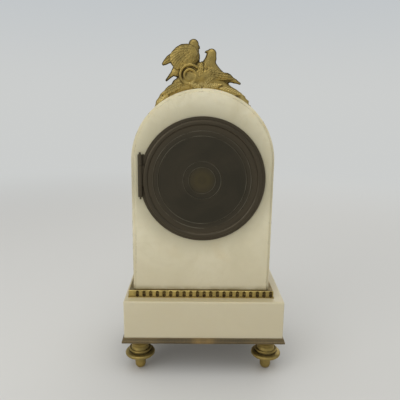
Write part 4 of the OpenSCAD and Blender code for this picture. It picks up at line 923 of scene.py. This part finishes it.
class Clay:
    """A block of distance values, in millimetres, that shapes are added to before it is meshed.

    The block's axes are x (to the side), y (towards the back) and h (height above the stone).
    Negative values lie inside.
    """

    empty: float = 50.0
    limb_melt: float = 0.8
    swell_over: float = 4.0
    blur_cells: int = 5
    blur_passes: int = 2
    # Painted shade: how far rims that face sideways count as hollows, so they come out dark.
    rim_shade: float = 0.18
    rim_facing: Span = (0.2, 0.7)

    def __init__(self, low: Sequence[float], high: Sequence[float], cell: float) -> None:
        """Lays out the empty block.

        Args:
            low: Its lowest corner.
            high: Its highest corner.
            cell: The distance between samples.
        """
        self.low, self.cell = np.array(low), cell
        counts = np.ceil((np.array(high) - self.low) / cell).astype(int) + 1
        axes = [start + cell * np.arange(n) for start, n in zip(self.low, counts)]
        self.x = axes[0].astype(np.float32)[:, None, None]
        self.y = axes[1].astype(np.float32)[None, :, None]
        self.h = axes[2].astype(np.float32)[None, None, :]
        self.field = np.full(counts, self.empty, np.float32)

    def chain(self, balls: Sequence[Ball], flat: float = 1.0, y: float = 0.0) -> np.ndarray:
        """Draws a limb through balls whose radii change smoothly.

        Args:
            balls: Each ball's x, height and radius.
            flat: The limb's depth as a share of its width.
            y: How far back its middle lies.

        Returns:
            The limb's field.
        """
        limb = None
        for (xa, ha, ra), (xb, hb, rb) in zip(balls, balls[1:]):
            run, rise = xb - xa, hb - ha
            along = ((self.x - xa) * run + (self.h - ha) * rise) / (run * run + rise * rise)
            along = np.clip(along, 0.0, 1.0)
            side = np.hypot(self.x - xa - along * run, self.h - ha - along * rise)
            part = np.hypot(side, (self.y - y) / flat) - (ra + (rb - ra) * along)
            limb = part if limb is None else melt(limb, part, self.limb_melt)
        return limb

    def outline(self, points: Sequence[Point]) -> np.ndarray:
        """Measures the distance to a flat outline.

        Args:
            points: The outline's corners.

        Returns:
            Distances over x and height, negative inside.
        """
        x, h = self.x[:, 0, :], self.h[0]
        x, h = np.broadcast_arrays(x, h)
        nearest = np.full(x.shape, np.inf, np.float32)
        inside = np.zeros(x.shape, bool)
        for (xa, ha), (xb, hb) in zip(points, list(points[1:]) + [points[0]]):
            run, rise = xb - xa, hb - ha
            along = np.clip(((x - xa) * run + (h - ha) * rise) / (run * run + rise * rise), 0, 1)
            nearest = np.minimum(nearest, np.hypot(x - xa - along * run, h - ha - along * rise))
            if rise:
                inside ^= ((ha > h) != (hb > h)) & (x < run * (h - ha) / rise + xa)
        return np.where(inside, -nearest, nearest)[:, None, :]

    def plate(self, points: Sequence[Point], y: float, thick: float, round_off: float = 0.6,
              swell: float = 0.0) -> np.ndarray:
        """Draws a flat piece with soft edges.

        Args:
            points: Its outline.
            y: How far back its middle lies.
            thick: Half its thickness.
            round_off: The rounding of its edges.
            swell: How much thicker it grows towards its middle.

        Returns:
            The piece's field.
        """
        edge = self.outline(points) + round_off
        grown = thick - round_off + swell * ease(-edge, 0.0, self.swell_over)
        face = np.abs(self.y - y) - grown
        return (np.hypot(np.maximum(edge, 0.0), np.maximum(face, 0.0))
                + np.minimum(np.maximum(edge, face), 0.0) - round_off)

    def add(self, shape: np.ndarray, reach: float = 1.0) -> None:
        """Melts a shape onto what is there."""
        self.field = melt(self.field, shape, reach).astype(np.float32)

    def mesh(self, name: str, cut: np.ndarray) -> bpy.types.Mesh:
        """Turns the block into a mesh with a painted measure of its hollows and painted rim shade.

        Args:
            name: The mesh's name.
            cut: A field that is taken away, such as the stone that the piece sits on.

        Returns:
            The mesh, in the block's own millimetres.
        """
        field = np.maximum(self.field, -cut)
        solid = field < 0.0
        across, back, up = (n - 1 for n in field.shape)
        corners = [field[a:a + across, b:b + back, c:c + up] for a, b, c in CORNERS]
        count = sum((c < 0).astype(np.int8) for c in corners)
        mixed = (count > 0) & (count < 8)
        index = np.full(mixed.shape, -1, np.int32)
        index[mixed] = np.arange(mixed.sum())
        base = np.argwhere(mixed).astype(np.float32)
        values = np.stack([c[mixed] for c in corners], 1)
        offsets = np.array(CORNERS, np.float32)
        total, weight = np.zeros_like(base), np.zeros(len(base), np.float32)
        for i, j in itertools.combinations(range(len(CORNERS)), 2):
            if np.abs(offsets[i] - offsets[j]).sum() != 1:
                continue
            a, b = values[:, i], values[:, j]
            crosses = (a < 0) != (b < 0)
            share = np.where(crosses, a / np.where(crosses, a - b, 1.0), 0.0)[:, None]
            point = offsets[i] + (offsets[j] - offsets[i]) * share
            total += np.where(crosses[:, None], point, 0.0)
            weight += crosses
        place = base + total / weight[:, None]
        quads = np.concatenate([self.walls(solid, index, axis) for axis in range(3)])
        mesh = bpy.data.meshes.new(name)
        mesh.from_pydata((self.low + place * self.cell).tolist(), [], quads.tolist())
        self.paint_hollows_and_rim_shade(mesh, solid, place)
        return mesh

    def walls(self, solid: np.ndarray, index: np.ndarray, axis: int) -> np.ndarray:
        """Faces every step along one axis between solid and air.

        Args:
            solid: Where the block is solid.
            index: Each cell's point.
            axis: The axis, 0 to 2.

        Returns:
            The faces, as four points each.
        """
        others = [a for a in range(3) if a != axis]
        trim = [slice(0, -1) if a == axis else slice(1, -1) for a in range(3)]
        at = np.argwhere((solid != np.roll(solid, -1, axis))[tuple(trim)])
        at[:, others] += 1
        step = np.zeros((4, 3), int)
        step[1:3, others[0]] = step[2:4, others[1]] = -1
        quad = np.stack([index[tuple((at + s).T)] for s in step], 1)
        inward = solid[tuple(at.T)] == (axis == 1)
        quad[inward] = quad[inward][:, ::-1]
        return quad

    def paint_hollows_and_rim_shade(self, mesh: bpy.types.Mesh, solid: np.ndarray, place: np.ndarray) -> None:
        """Paints enclosure (above 0 in hollows, below 0 on high places) and painted rim shade.

        Args:
            mesh: The mesh to paint.
            solid: Where the block is solid.
            place: Each point's place in the block, in cells.
        """
        near, width = solid.astype(np.float32), self.blur_cells
        for axis in (0, 1, 2) * self.blur_passes:
            start = np.zeros_like(near.take([0], axis))
            summed = np.cumsum(np.concatenate([start, near], axis), axis)
            pad = [(0, 0)] * 3
            pad[axis] = (width // 2, width // 2)
            summed = np.pad(summed, pad, mode="edge")
            high = summed.take(range(width, summed.shape[axis]), axis)
            low = summed.take(range(0, summed.shape[axis] - width), axis)
            near = (high - low) / width
        cell = np.clip(np.round(place).astype(int), 0, np.array(solid.shape) - 1)
        enclosed = near[tuple(cell.T)] - 0.5
        slopes = [np.gradient(near, axis=axis)[tuple(cell.T)] for axis in range(3)]
        facing = np.abs(slopes[1]) / np.maximum(np.sqrt(sum(s * s for s in slopes)), 1e-6)
        # Painted shade on rims that face sideways.
        enclosed = np.maximum(enclosed, self.rim_shade * (1.0 - ease(facing, *self.rim_facing)))
        layer = mesh.attributes.new("hollow", "FLOAT", "POINT")
        layer.data.foreach_set("value", enclosed.astype(np.float32))


@dataclass
class Crest:
    """Two doves on a heap of leaves with a scroll between them, cast in gilt brass.

    Shapes are drawn in millimetres from the arch's highest point, as seen from behind: x grows to
    the left there, and heights run above the stone's crown.
    """

    node: str = "crest"
    stone: str = "case_body"
    cell: float = 0.34
    cell_quick: float = 0.6
    seat: float = 0.02
    slack: float = 0.05
    beak_flat: float = 0.85
    perching_flat: float = 0.66
    resting_flat: float = 0.72
    eyes: tuple[Point, ...] = ((6.9, 35.4), (-6.5, 29.4))
    eye_lid: Span = (0.55, 0.8)
    eye_ball: Span = (0.75, 0.42)
    breast_pitch: float = 1.7
    breast_lift: float = 0.13
    far_comb: Comb = Comb((18.0, 30.0), (32.5, 20.0), 1.9, 0.3)
    tail_comb: Comb = Comb((18.0, 16.0), (30.0, 6.6), 1.25, 0.4)
    quill_comb: Comb = Comb((-4.0, 11.2), (-24.0, 8.6), 1.75, 0.75)
    near_fan: Fan = Fan((6.6, 30.2), ((0.0, 5.2), (4.4, 4.2), (8.2, 4.6), (12.4, 10.5)), 2.5, 0.5)
    covert_fan: Fan = Fan((-3.4, 13.6), ((0.0, 3.4), (2.8, 3.0), (5.4, 3.4)), 1.9, 0.55)
    near_stand: Triple = (3.2, 0.9, 5.0)
    folded_stand: Triple = (3.3, 0.5, 3.0)
    leaf_form: LeafForm = LeafForm()
    perching_body: tuple[Ball, ...] = ((7.7, 35.3, 4.0), (7.9, 30.4, 4.4), (9.6, 25.6, 7.0),
                                       (13.2, 21.4, 7.6), (18.0, 17.2, 6.0), (21.5, 14.0, 3.8))
    perching_beak: tuple[Ball, ...] = ((5.2, 34.3, 1.5), (3.9, 33.2, 1.05), (2.9, 32.1, 0.4))
    near_wing: tuple[Point, ...] = (
        (4.6, 27.5), (5.6, 31.5), (9.0, 33.8), (12.4, 35.3), (17.3, 35.0), (21.5, 32.7),
        (25.0, 29.1), (26.4, 26.4), (26.5, 23.2), (25.4, 19.4), (23.6, 17.4), (20.4, 15.2),
        (15.0, 16.8), (9.4, 19.8), (5.6, 23.4))
    far_wing: tuple[Point, ...] = (
        (18.0, 33.6), (26.2, 28.4), (29.2, 26.3), (31.6, 23.2), (33.4, 20.2), (32.5, 18.8),
        (29.7, 19.5), (27.2, 20.8), (22.0, 20.0), (16.0, 25.0))
    tail: tuple[Point, ...] = (
        (17.0, 19.0), (23.6, 18.4), (24.6, 15.5), (27.2, 11.9), (30.4, 7.3), (29.5, 6.2),
        (26.4, 8.6), (23.4, 10.8), (20.0, 10.4), (15.0, 12.5))
    resting_body: tuple[Ball, ...] = (
        (-6.7, 28.3, 3.85), (-6.2, 24.6, 4.25), (-4.7, 19.6, 5.5), (-8.6, 14.0, 5.5),
        (-15.2, 9.8, 4.2), (-20.6, 9.2, 3.1), (-25.8, 7.3, 1.7), (-29.9, 5.4, 0.9))
    resting_beak: tuple[Ball, ...] = ((-4.2, 29.8, 1.5), (-2.6, 29.6, 0.9), (-1.3, 29.3, 0.4))
    folded_wing: tuple[Point, ...] = (
        (-1.8, 14.0), (-4.6, 17.6), (-8.4, 17.0), (-12.6, 14.9), (-16.0, 13.8), (-19.7, 13.5),
        (-22.4, 12.1), (-25.0, 9.2), (-23.4, 7.6), (-17.0, 7.6), (-10.0, 8.0), (-4.6, 9.6))
    heap: tuple[Ball, ...] = ((20.2, 4.0, 4.8), (13.0, 7.0, 7.2), (5.6, 9.6, 7.6),
                              (1.9, 16.6, 5.0), (0.4, 10.0, 7.4), (-6.5, 7.2, 7.2),
                              (-15.5, 3.2, 5.4))
    heap_flat: float = 0.7
    spray_flat: float = 0.85
    outline_from: Span = (-1.3, -0.35)
    # Painted shade along the carving's outline.
    outline_shade: float = 0.2
    # Painted light: the foot next to the stone is drawn brighter.
    foot_light: float = 0.16
    foot_h: Span = (11.0, 4.0)
    scroll_at: Point = (10.9, 11.0)
    scroll_r: float = 7.4
    scroll_deep: float = 3.9
    coil_r: float = 1.15
    coil_turns: Span = (-1.25, 0.37)
    coil_reach: Triple = (3.5, 5.2, 1.25)
    coil_steps: int = 90
    coil_proud: float = 0.5
    pit_r: float = 2.4
    pit_deep: float = 1.4
    sprays: tuple[tuple[Ball, ...], ...] = (
        ((12.0, 5.0, 5.2), (20.0, 5.4, 5.2), (26.0, 4.8, 4.6), (34.0, 3.8, 3.5), (40.0, 2.6, 2.6),
         (46.0, 1.0, 1.1)),
        ((12.0, 5.0, 5.2), (1.0, 3.8, 5.4), (-10.0, 3.6, 5.6), (-19.0, 3.6, 4.8),
         (-27.0, 3.3, 3.9), (-34.0, 3.1, 3.1), (-40.0, 2.6, 2.3)),
        ((-24.0, 4.0, 3.0), (-31.6, 6.2, 0.8)), ((-28.0, 3.6, 3.0), (-35.8, 5.7, 0.8)),
        ((-33.0, 3.0, 2.6), (-40.2, 4.9, 0.8)), ((-37.0, 0.8, 1.6), (-44.2, 3.3, 0.8)),
        ((-38.0, 0.4, 1.0), (-43.0, 0.6, 1.6), (-49.8, 3.1, 0.8)))
    leaf_places: tuple[tuple[float, ...], ...] = (
        (3.4, 7.0, 99.0, 15.5, 6.0, 4.1), (-1.0, 3.0, 140.0, 11.0, 5.5, 4.6),
        (0.5, 1.0, 168.0, 17.0, 6.0, 4.9), (-13.0, 1.5, 196.0, 19.5, 6.4, 4.6),
        (-22.0, -4.0, 218.0, 16.5, 5.0, 4.2), (1.0, 1.6, 18.0, 12.0, 4.6, 4.9),
        (16.5, 5.0, -28.0, 20.0, 7.0, 4.3), (27.0, -2.6, -46.0, 15.5, 4.6, 3.9))

    def __post_init__(self) -> None:
        """Measures the stone and the plain casting, and lays out the clay round the casting."""
        low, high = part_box(self.node)
        stone_low, stone_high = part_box(self.stone)
        self.arch_r = (stone_high.x - stone_low.x) / 2 / MM
        self.crown = Vector(((stone_low.x + stone_high.x) / 2, (low.y + high.y) / 2,
                             stone_high.z))
        self.low, self.high = (low - self.crown) / MM, (high - self.crown) / MM
        cell = self.cell
        margin = 2 * cell
        self.clay = Clay([c - margin for c in self.low], [c + margin for c in self.high], cell)

    def build(self) -> bpy.types.Object:
        """Sculpts the crest in the place of its plain casting.

        Returns:
            The finished object.
        """
        self.doves()
        self.leaves()
        self.scroll()
        self.keep_inside()
        radius = np.hypot(self.clay.x, self.clay.h + self.arch_r)
        mesh = self.clay.mesh("crest", radius - self.arch_r - self.seat)
        self.age(mesh)
        mesh.transform(Matrix.Translation(self.crown) @ Matrix.Scale(MM, 4))
        for face in mesh.polygons:
            face.use_smooth = True
        return show("crest_carving", mesh)

    def age(self, mesh: bpy.types.Mesh) -> None:
        """Paints shade along the carving's outline and paints light on it next to the stone.

        Args:
            mesh: The carving, still in millimetres.
        """
        clay, count = self.clay, len(mesh.vertices)
        place, hollow = np.empty(3 * count, np.float32), np.empty(count, np.float32)
        mesh.vertices.foreach_get("co", place)
        across, _, up = place.reshape(-1, 3).T
        depth = clay.field.min(axis=1)
        column, row = (np.clip(np.round((value - start) / clay.cell).astype(int), 0, cells - 1)
                       for value, start, cells in ((across, clay.low[0], depth.shape[0]),
                                                   (up, clay.low[2], depth.shape[1])))
        outline = ease(depth[column, row], *self.outline_from)
        over = np.hypot(across, up + self.arch_r) - self.arch_r
        layer = mesh.attributes["hollow"].data
        layer.foreach_get("value", hollow)
        # Painted shade along the outline.
        hollow = np.maximum(hollow, self.outline_shade * outline)
        # Painted light at the foot, next to the stone.
        layer.foreach_set("value", hollow - self.foot_light * ease(over, *self.foot_h))

    def fan(self, kind: Fan) -> np.ndarray:
        """Draws rows of overlapping feathers.

        Args:
            kind: Their places and sizes.

        Returns:
            The feathers' height over x and height.
        """
        across, up = self.clay.x - kind.hinge[0], self.clay.h - kind.hinge[1]
        reach = np.hypot(across, up)
        turn = np.arctan2(up, across) + kind.sweep * reach
        relief = np.zeros_like(reach)
        for number, (start, length) in reversed(list(enumerate(kind.rows))):
            end = start + length
            share = turn * end / kind.width + 0.5 * (number % 2)
            side = 2.0 * (share - np.round(share))
            shorter = 1.0 - np.sqrt(np.maximum(1.0 - side * side, 0.0))
            tip = end - kind.round_tip * kind.width * shorter
            along = np.clip((reach - start) / length, 0.0, 1.0)
            quill = bell(side, *kind.quill)
            feather = kind.lift * (0.25 + 0.75 * along + quill - kind.bow * side ** 4)
            relief = np.where((reach < tip) & (reach > start - length), feather, relief)
        return relief

    def comb(self, kind: Comb) -> np.ndarray:
        """Draws long feathers side by side.

        Args:
            kind: Their places and sizes.

        Returns:
            The feathers' height over x and height.
        """
        (x, h), end = kind.start, kind.end
        run, rise = end[0] - x, end[1] - h
        side = ((self.clay.x - x) * rise - (self.clay.h - h) * run) / math.hypot(run, rise)
        return kind.lift * np.sqrt(np.abs(np.cos(math.pi * side / kind.pitch)))

    def stand(self, points: Sequence[Point], bow: Triple) -> np.ndarray:
        """Says how far a bowed wing stands out from the dove's middle.

        Args:
            points: The wing's outline.
            bow: How far its rim stands out, how much more its middle does, and how wide the
                slope between them is.

        Returns:
            The distance over x and height.
        """
        rim, more, slope = bow
        return rim + more * ease(-self.clay.outline(points), 0.0, slope)

    def scales(self, pitch: float, lift: float) -> np.ndarray:
        """Draws the small round feathers of a breast.

        Args:
            pitch: The width of one.
            lift: How far their lower edges stand up.

        Returns:
            The feathers' height over x and height.
        """
        row_pitch, bow = 0.62, 0.45
        row = self.clay.h / (row_pitch * pitch)
        share = self.clay.x / pitch + 0.5 * (np.floor(row) % 2)
        side = 2.0 * (share - np.round(share))
        fall = row - np.floor(row)
        return lift * (1.0 - ease(fall + bow * side * side, 0.25, 1.1))

    def doves(self) -> None:
        """Models the two doves, the left one with its wings half open."""
        clay = self.clay
        down = self.scales(self.breast_pitch, self.breast_lift)
        clay.add(clay.plate(self.far_wing, y=-3.1, thick=1.25 + self.comb(self.far_comb),
                            round_off=0.7), reach=0.6)
        clay.add(clay.plate(self.tail, y=0.0, thick=1.5 + self.comb(self.tail_comb),
                            round_off=0.6), reach=0.9)
        clay.add(clay.chain(self.perching_body, self.perching_flat) - down)
        clay.add(clay.chain(self.perching_beak, self.beak_flat), reach=0.5)
        clay.add(clay.plate(self.near_wing, self.stand(self.near_wing, self.near_stand),
                            thick=1.0 + self.fan(self.near_fan), round_off=0.7), reach=0.5)
        clay.add(clay.chain(self.resting_body, self.resting_flat) - down)
        clay.add(clay.chain(self.resting_beak, self.beak_flat), reach=0.5)
        covert = self.fan(self.covert_fan)
        feathers = np.where(covert > 0.0, covert, self.comb(self.quill_comb))
        stand = self.stand(self.folded_wing, self.folded_stand)
        for side in (-1.0, 1.0):
            clay.add(clay.plate(self.folded_wing, side * stand, thick=0.8 + feathers,
                                round_off=0.6), reach=0.4)
        for x, h in self.eyes:
            away = np.hypot(clay.x - x, clay.h - h)
            clay.field += (bell(away, *self.eye_lid) - bell(away, *self.eye_ball)).astype(
                np.float32)

    def leaf(self, at: Point, turn_deg: float, length: float, width: float, y: float) -> None:
        """Models one pointed leaf with a rib, side veins and notched edges.

        Args:
            at: The stalk's end of the leaf.
            turn_deg: Its direction: 0 along x, 90 straight up.
            length: Its length.
            width: Its greatest width.
            y: How far back its middle lies.
        """
        clay, form, turn = self.clay, self.leaf_form, math.radians(turn_deg)
        across, up = clay.x - at[0], clay.h - at[1]
        along = (across * math.cos(turn) + up * math.sin(turn)) / length
        side = up * math.cos(turn) - across * math.sin(turn)
        bounded = np.clip(along, 0.0, 1.0)
        notch = 1.0 - form.notch_deep * np.abs(np.sin(math.pi * form.notches * bounded))
        belly, shoulder = form.fullness
        arch = np.maximum(np.sin(math.pi * bounded ** belly), 0.0)
        half = 0.5 * width * arch ** shoulder * notch
        edge = np.hypot(np.maximum(np.abs(side) - half, 0.0),
                        np.maximum(np.abs(along - 0.5) - 0.5, 0.0) * length)
        inner = np.minimum(half - np.abs(side), form.deepest)
        away = np.where(edge > 0.0, edge, -inner)
        slanted = along * length - form.vein_slant * np.abs(side)
        veins = form.vein_lift * np.cos(FULL_TURN * slanted / form.vein_pitch)
        rib = bell(side, *form.rib) - bell(side, *form.groove)
        thick = form.thick + form.swell * ease(-away, 0.0, form.swell_over) + rib + veins
        clay.add(np.maximum(away, np.abs(clay.y - y) - thick), reach=0.5)

    def leaves(self) -> None:
        """Models the heap of leaves and the two sprays that run down the arch."""
        self.clay.add(self.clay.chain(self.heap, self.heap_flat), reach=1.5)
        for spray in self.sprays:
            balls = []
            for turn_deg, height, radius in spray:
                turn, away = math.radians(turn_deg), self.arch_r + height
                balls.append((away * math.sin(turn), away * math.cos(turn) - self.arch_r, radius))
            self.clay.add(self.clay.chain(balls, self.spray_flat))
        for x, h, turn_deg, length, width, y in self.leaf_places:
            for side in (-1.0, 1.0):
                self.leaf((x, h), turn_deg, length, width, side * y)

    def scroll(self) -> None:
        """Models the scroll between the doves: a drum with a coil on both faces."""
        clay = self.clay
        across, up = clay.x - self.scroll_at[0], clay.h - self.scroll_at[1]
        reach = np.hypot(across, up)
        pit = self.pit_deep * ease(reach, self.pit_r, 0.5 * self.pit_r)
        face = np.abs(clay.y) - self.scroll_deep
        clay.add(np.maximum(reach - self.scroll_r, face + pit), reach=0.8)
        nearest = np.full(reach.shape, clay.empty, np.float32)
        start, stop = self.coil_turns
        inner, grown, power = self.coil_reach
        for share in np.linspace(0.0, 1.0, self.coil_steps):
            turn = FULL_TURN * (start + (stop - start) * share)
            out = inner + grown * share ** power
            nearest = np.minimum(nearest, np.hypot(across - out * math.cos(turn),
                                                   up - out * math.sin(turn)))
        over = np.maximum(face - self.coil_proud, 0.0)
        clay.add(np.hypot(nearest, over) - self.coil_r, reach=0.5)

    def keep_inside(self) -> None:
        """Holds the carving within the plain casting's box."""
        clay = self.clay
        for low, high, values in zip(self.low, self.high, (clay.x, clay.y, clay.h)):
            clay.field = np.maximum(clay.field, values - (high - self.slack))
            clay.field = np.maximum(clay.field, (low + self.slack) - values)
        clay.field = clay.field.astype(np.float32)


# ------------------------------------------------------------------ pieces


def centre_of(node: str) -> Vector:
    """Gives the middle of a node's box."""
    low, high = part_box(node)
    return (low + high) / 2


STROKES: dict[str, tuple[tuple[float, float, bool], ...]] = {
    "I": ((0.5, 0.5, True),),
    "V": ((0.47, 0.0, True), (0.56, 1.0, False)),
    "X": ((1.0, 0.0, True), (0.0, 1.0, False)),
}
"""Each letter's strokes: where the foot and the head stand across it, and whether it is thick."""


@dataclass
class DialWork:
    """What is fired and pressed into the domed dial: hours, minute track and winding eyelet.

    Sizes are in millimetres. Shapes are drawn flat, across and outwards from the dial's middle,
    and laid on the dome.
    """

    node: str = "dial"
    key_node: str = "barrel_arbor"
    hours: tuple[str, ...] = ("XII", "I", "II", "III", "IIII", "V", "VI", "VII", "VIII", "IX",
                              "X", "XI")
    widths: dict[str, float] = field(default_factory=lambda: {"I": 1.95, "V": 4.7, "X": 4.9})
    foot_r: float = 23.8
    hour_h: float = 6.6
    thick: float = 1.1
    thin: float = 0.32
    serif_h: float = 0.24
    serif_w: float = 0.8
    track_r: Span = (32.3, 34.1)
    track_w: float = 0.24
    hour_deg: float = 30.0
    minutes: int = 60
    minute_deg: float = 6.0
    minute_w: float = 0.26
    five_w: float = 0.95
    sunk: float = 0.03
    proud: float = 0.04
    ring_steps: int = 120
    eyelet_steps: int = 48
    eyelet: tuple[Point, ...] = ((0.0, -0.3), (1.5, -0.3), (1.5, 0.05), (1.25, 0.22), (0.8, 0.3),
                                 (0.3, 0.2), (0.0, 0.0))
    points: list[Vector] = field(default_factory=list)
    faces: list[tuple[int, ...]] = field(default_factory=list)

    def __post_init__(self) -> None:
        """Measures the dome: the height of the dial's face over the distance from its middle."""
        self.middle = centre_of(self.node)
        front: dict[float, float] = {}
        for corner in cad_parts[self.node].data.vertices:
            reach = math.hypot(corner.co.x - self.middle.x, corner.co.z - self.middle.z)
            key = round(reach / MM, 1)
            front[key] = min(corner.co.y / MM, front.get(key, 0.0))
        self.radii = sorted(front)
        self.face_y = [front[radius] for radius in self.radii]

    def lay(self, x: float, h: float, lift: float) -> None:
        """Adds a corner at a place on the dome, this far above it."""
        y = float(np.interp(math.hypot(x, h), self.radii, self.face_y)) - lift
        self.points.append(Vector((self.middle.x + x * MM, y * MM, self.middle.z + h * MM)))

    def slab(self, outline: Sequence[Point], turn: float) -> None:
        """Lays a thin flat shape.

        Args:
            outline: Its corners, counter-clockwise, as steps across and outwards.
            turn: The direction that is outwards, clockwise from the top.
        """
        first, count = len(self.points), len(outline)
        for lift in (-self.sunk, self.proud):
            for across, out in outline:
                self.lay(across * math.cos(turn) + out * math.sin(turn),
                         out * math.cos(turn) - across * math.sin(turn), lift)
        low = range(first, first + count)
        high = range(first + count, first + 2 * count)
        self.faces += [tuple(reversed(low)), tuple(high)]
        for i in range(count):
            after = (i + 1) % count
            self.faces.append((low[i], low[after], high[after], high[i]))

    def bar(self, foot: Point, head: Point, width: float, turn: float) -> None:
        """Lays a straight stroke.

        Args:
            foot: The middle of its inner end.
            head: The middle of its outer end.
            width: Its width.
            turn: The direction that is outwards.
        """
        half = width / 2
        self.slab([(foot[0] - half, foot[1]), (foot[0] + half, foot[1]),
                   (head[0] + half, head[1]), (head[0] - half, head[1])], turn)

    def ring(self, profile: Sequence[Point], steps: int, at: Point = (0.0, 0.0)) -> None:
        """Turns a closed profile round a point.

        Args:
            profile: Its corners, as radius and lift, counter-clockwise.
            steps: How many sides it has.
            at: The point, across and up from the dial's middle.
        """
        first, count = len(self.points), len(profile)
        for step in range(steps):
            turn = FULL_TURN * step / steps
            for radius, lift in profile:
                self.lay(at[0] + radius * math.sin(turn), at[1] + radius * math.cos(turn), lift)
        for step in range(steps):
            here, there = first + step * count, first + (step + 1) % steps * count
            for i in range(count):
                after = (i + 1) % count
                self.faces.append((here + i, here + after, there + after, there + i))

    def hour(self, letters: str, turn: float) -> None:
        """Draws one hour.

        Args:
            letters: Its letters.
            turn: Its direction, clockwise from the top.
        """
        left = -sum(self.widths[letter] for letter in letters) / 2
        for letter in letters:
            inset = 0.5 * (self.thick + self.serif_w) if letter != "I" else 0.0
            span = self.widths[letter] - 2 * inset
            for foot_share, head_share, is_thick in STROKES[letter]:
                width = self.thick if is_thick else self.thin
                foot = (left + inset + foot_share * span, self.foot_r)
                head = (left + inset + head_share * span, self.foot_r + self.hour_h)
                self.bar(foot, head, width, turn)
                for x, out in (foot, (head[0], head[1] - self.serif_h)):
                    if letter != "V" or out > self.foot_r:
                        self.bar((x, out), (x, out + self.serif_h), width + self.serif_w, turn)
            left += self.widths[letter]

    def piece(self, name: str, finish: bpy.types.Material, slot: Slot) -> None:
        """Makes a piece of what is drawn so far, and clears the sheet.

        Args:
            name: The piece's name.
            finish: Its material.
            slot: The record's slot that the finish belongs to; not used.
        """
        mesh = bpy.data.meshes.new(name)
        mesh.from_pydata(self.points, [], self.faces)
        mesh.materials.append(finish)
        piece = show(name, mesh)
        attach(piece, "case")
        log.info("laid %s: %d faces", name, len(self.faces))
        self.points, self.faces = [], []

    def build(self, finishes: dict[str, bpy.types.Material]) -> None:
        """Makes the hours, the minute track and the winding hole's eyelet.

        Args:
            finishes: Each slot's material.
        """
        paint = Paint().material()
        for number, letters in enumerate(self.hours):
            self.hour(letters, math.radians(self.hour_deg * number))
        self.piece("dial_hours", paint, Slot.ENAMEL)
        for radius in self.track_r:
            inner, outer = radius - self.track_w / 2, radius + self.track_w / 2
            self.ring([(inner, -self.sunk), (outer, -self.sunk), (outer, self.proud),
                       (inner, self.proud)], self.ring_steps)
        for minute in range(self.minutes):
            width = self.minute_w if minute % 5 else self.five_w
            self.bar((0.0, self.track_r[0]), (0.0, self.track_r[1]), width,
                     math.radians(self.minute_deg * minute))
        self.piece("minute_track", paint, Slot.ENAMEL)
        key = centre_of(self.key_node)
        at = ((key.x - self.middle.x) / MM, (key.z - self.middle.z) / MM)
        hole_r = min(math.hypot(corner.co.x - key.x, corner.co.z - key.z) / MM
                     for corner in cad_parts[self.node].data.vertices)
        self.ring([(hole_r + out, lift) for out, lift in self.eyelet], self.eyelet_steps, at)
        self.piece("winding_eyelet", finishes[Slot.MOVEMENT.value], Slot.MOVEMENT)


@dataclass
class Dresser:
    """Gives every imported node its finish."""

    brass: BrightMetal = BrightMetal("movement_brass", (0.72, 0.55, 0.25), (0.60, 0.44, 0.18),
                                     (0.86, 0.70, 0.38))
    steel: BrightMetal = BrightMetal("polished_steel", (0.56, 0.57, 0.58), (0.44, 0.45, 0.46),
                                     (0.75, 0.76, 0.77), (0.16, 0.3))
    blued: BrightMetal = BrightMetal("blued_steel", (0.035, 0.06, 0.20), (0.05, 0.045, 0.13),
                                     (0.12, 0.17, 0.36), (0.2, 0.32))
    iron: BrightMetal = BrightMetal("dull_iron", (0.22, 0.21, 0.20), (0.13, 0.11, 0.095),
                                    (0.34, 0.32, 0.30), (0.45, 0.65))
    fluted: GiltBrass = GiltBrass("fluted_gilt", (0.56, 0.43, 0.15), (0.42, 0.32, 0.11),
                                  patina_and_shade=(0.05, 0.026, 0.016), recess_reach=0.0022,
                                  recess_from=(0.12, 0.27), dust=0.65)
    wheels: tuple[str, ...] = ("intermediate_wheel", "centre_wheel", "third_wheel",
                               "fourth_wheel", "minute_wheel", "hour_wheel", "escape_wheel",
                               "balance_wheel")

    def plain(self) -> dict[str, Finish]:
        """Chooses the finish of each of the record's slots.

        Returns:
            The finishes, by slot.
        """
        ring, seam_h = centre_of("rear_ring"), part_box("foot_frame")[1].z
        chosen = {Slot.ALABASTER: Alabaster(ring, seam_h), Slot.GILT: GiltBrass(),
                  Slot.AGED: AgedBrass(ring), Slot.IRON: self.iron, Slot.MOVEMENT: self.brass,
                  Slot.STEEL: self.steel, Slot.BLUED: self.blued, Slot.ENAMEL: Enamel(),
                  Slot.GLASS: Glass()}
        return {slot.value: finish for slot, finish in chosen.items()}

    def special(self) -> dict[str, Finish]:
        """Chooses the finish of the nodes that don't look like the rest of their slot.

        Returns:
            The finishes, by node.
        """
        bronze = AgedBrass(
            centre_of("base_moulding"), "moulding_bronze", (0.11, 0.088, 0.054),
            (0.17, 0.13, 0.07), (0.30, 0.20, 0.08), (0.42, 0.30, 0.14), line_r=())
        wheels = {node: TurnedMetal(f"turned_{node}", centre_of(node)) for node in self.wheels}
        return {"foot_frame": self.fluted, "base_moulding": bronze, **wheels}

    def build(self) -> dict[str, bpy.types.Material]:
        """Dresses all nodes, the wheels with grain round their own axes.

        Returns:
            Each slot's material.
        """
        plain, special = ({name: finish.material() for name, finish in chosen.items()}
                          for chosen in (self.plain(), self.special()))
        for node, piece in sorted(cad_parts.items()):
            slot = piece.material_slots[0].material.name
            for held in piece.material_slots:
                held.material = special[node] if node in special else plain[slot]
            log.info("dressed %s as %s", node, slot)
        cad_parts["bezel_glass"].visible_shadow = False
        return plain


def main() -> None:
    """Builds the studio and every piece in order."""
    logging.basicConfig(level=logging.INFO, format="%(name)s: %(message)s")
    Studio().build()
    finishes = Dresser().build()
    crest = Crest().build()
    crest.data.materials.append(finishes[Slot.GILT.value])
    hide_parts("crest")
    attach(crest, "case")
    log.info("carved the crest: %d faces", len(crest.data.polygons))
    DialWork().build(finishes)


if __name__ == "__main__":
    main()
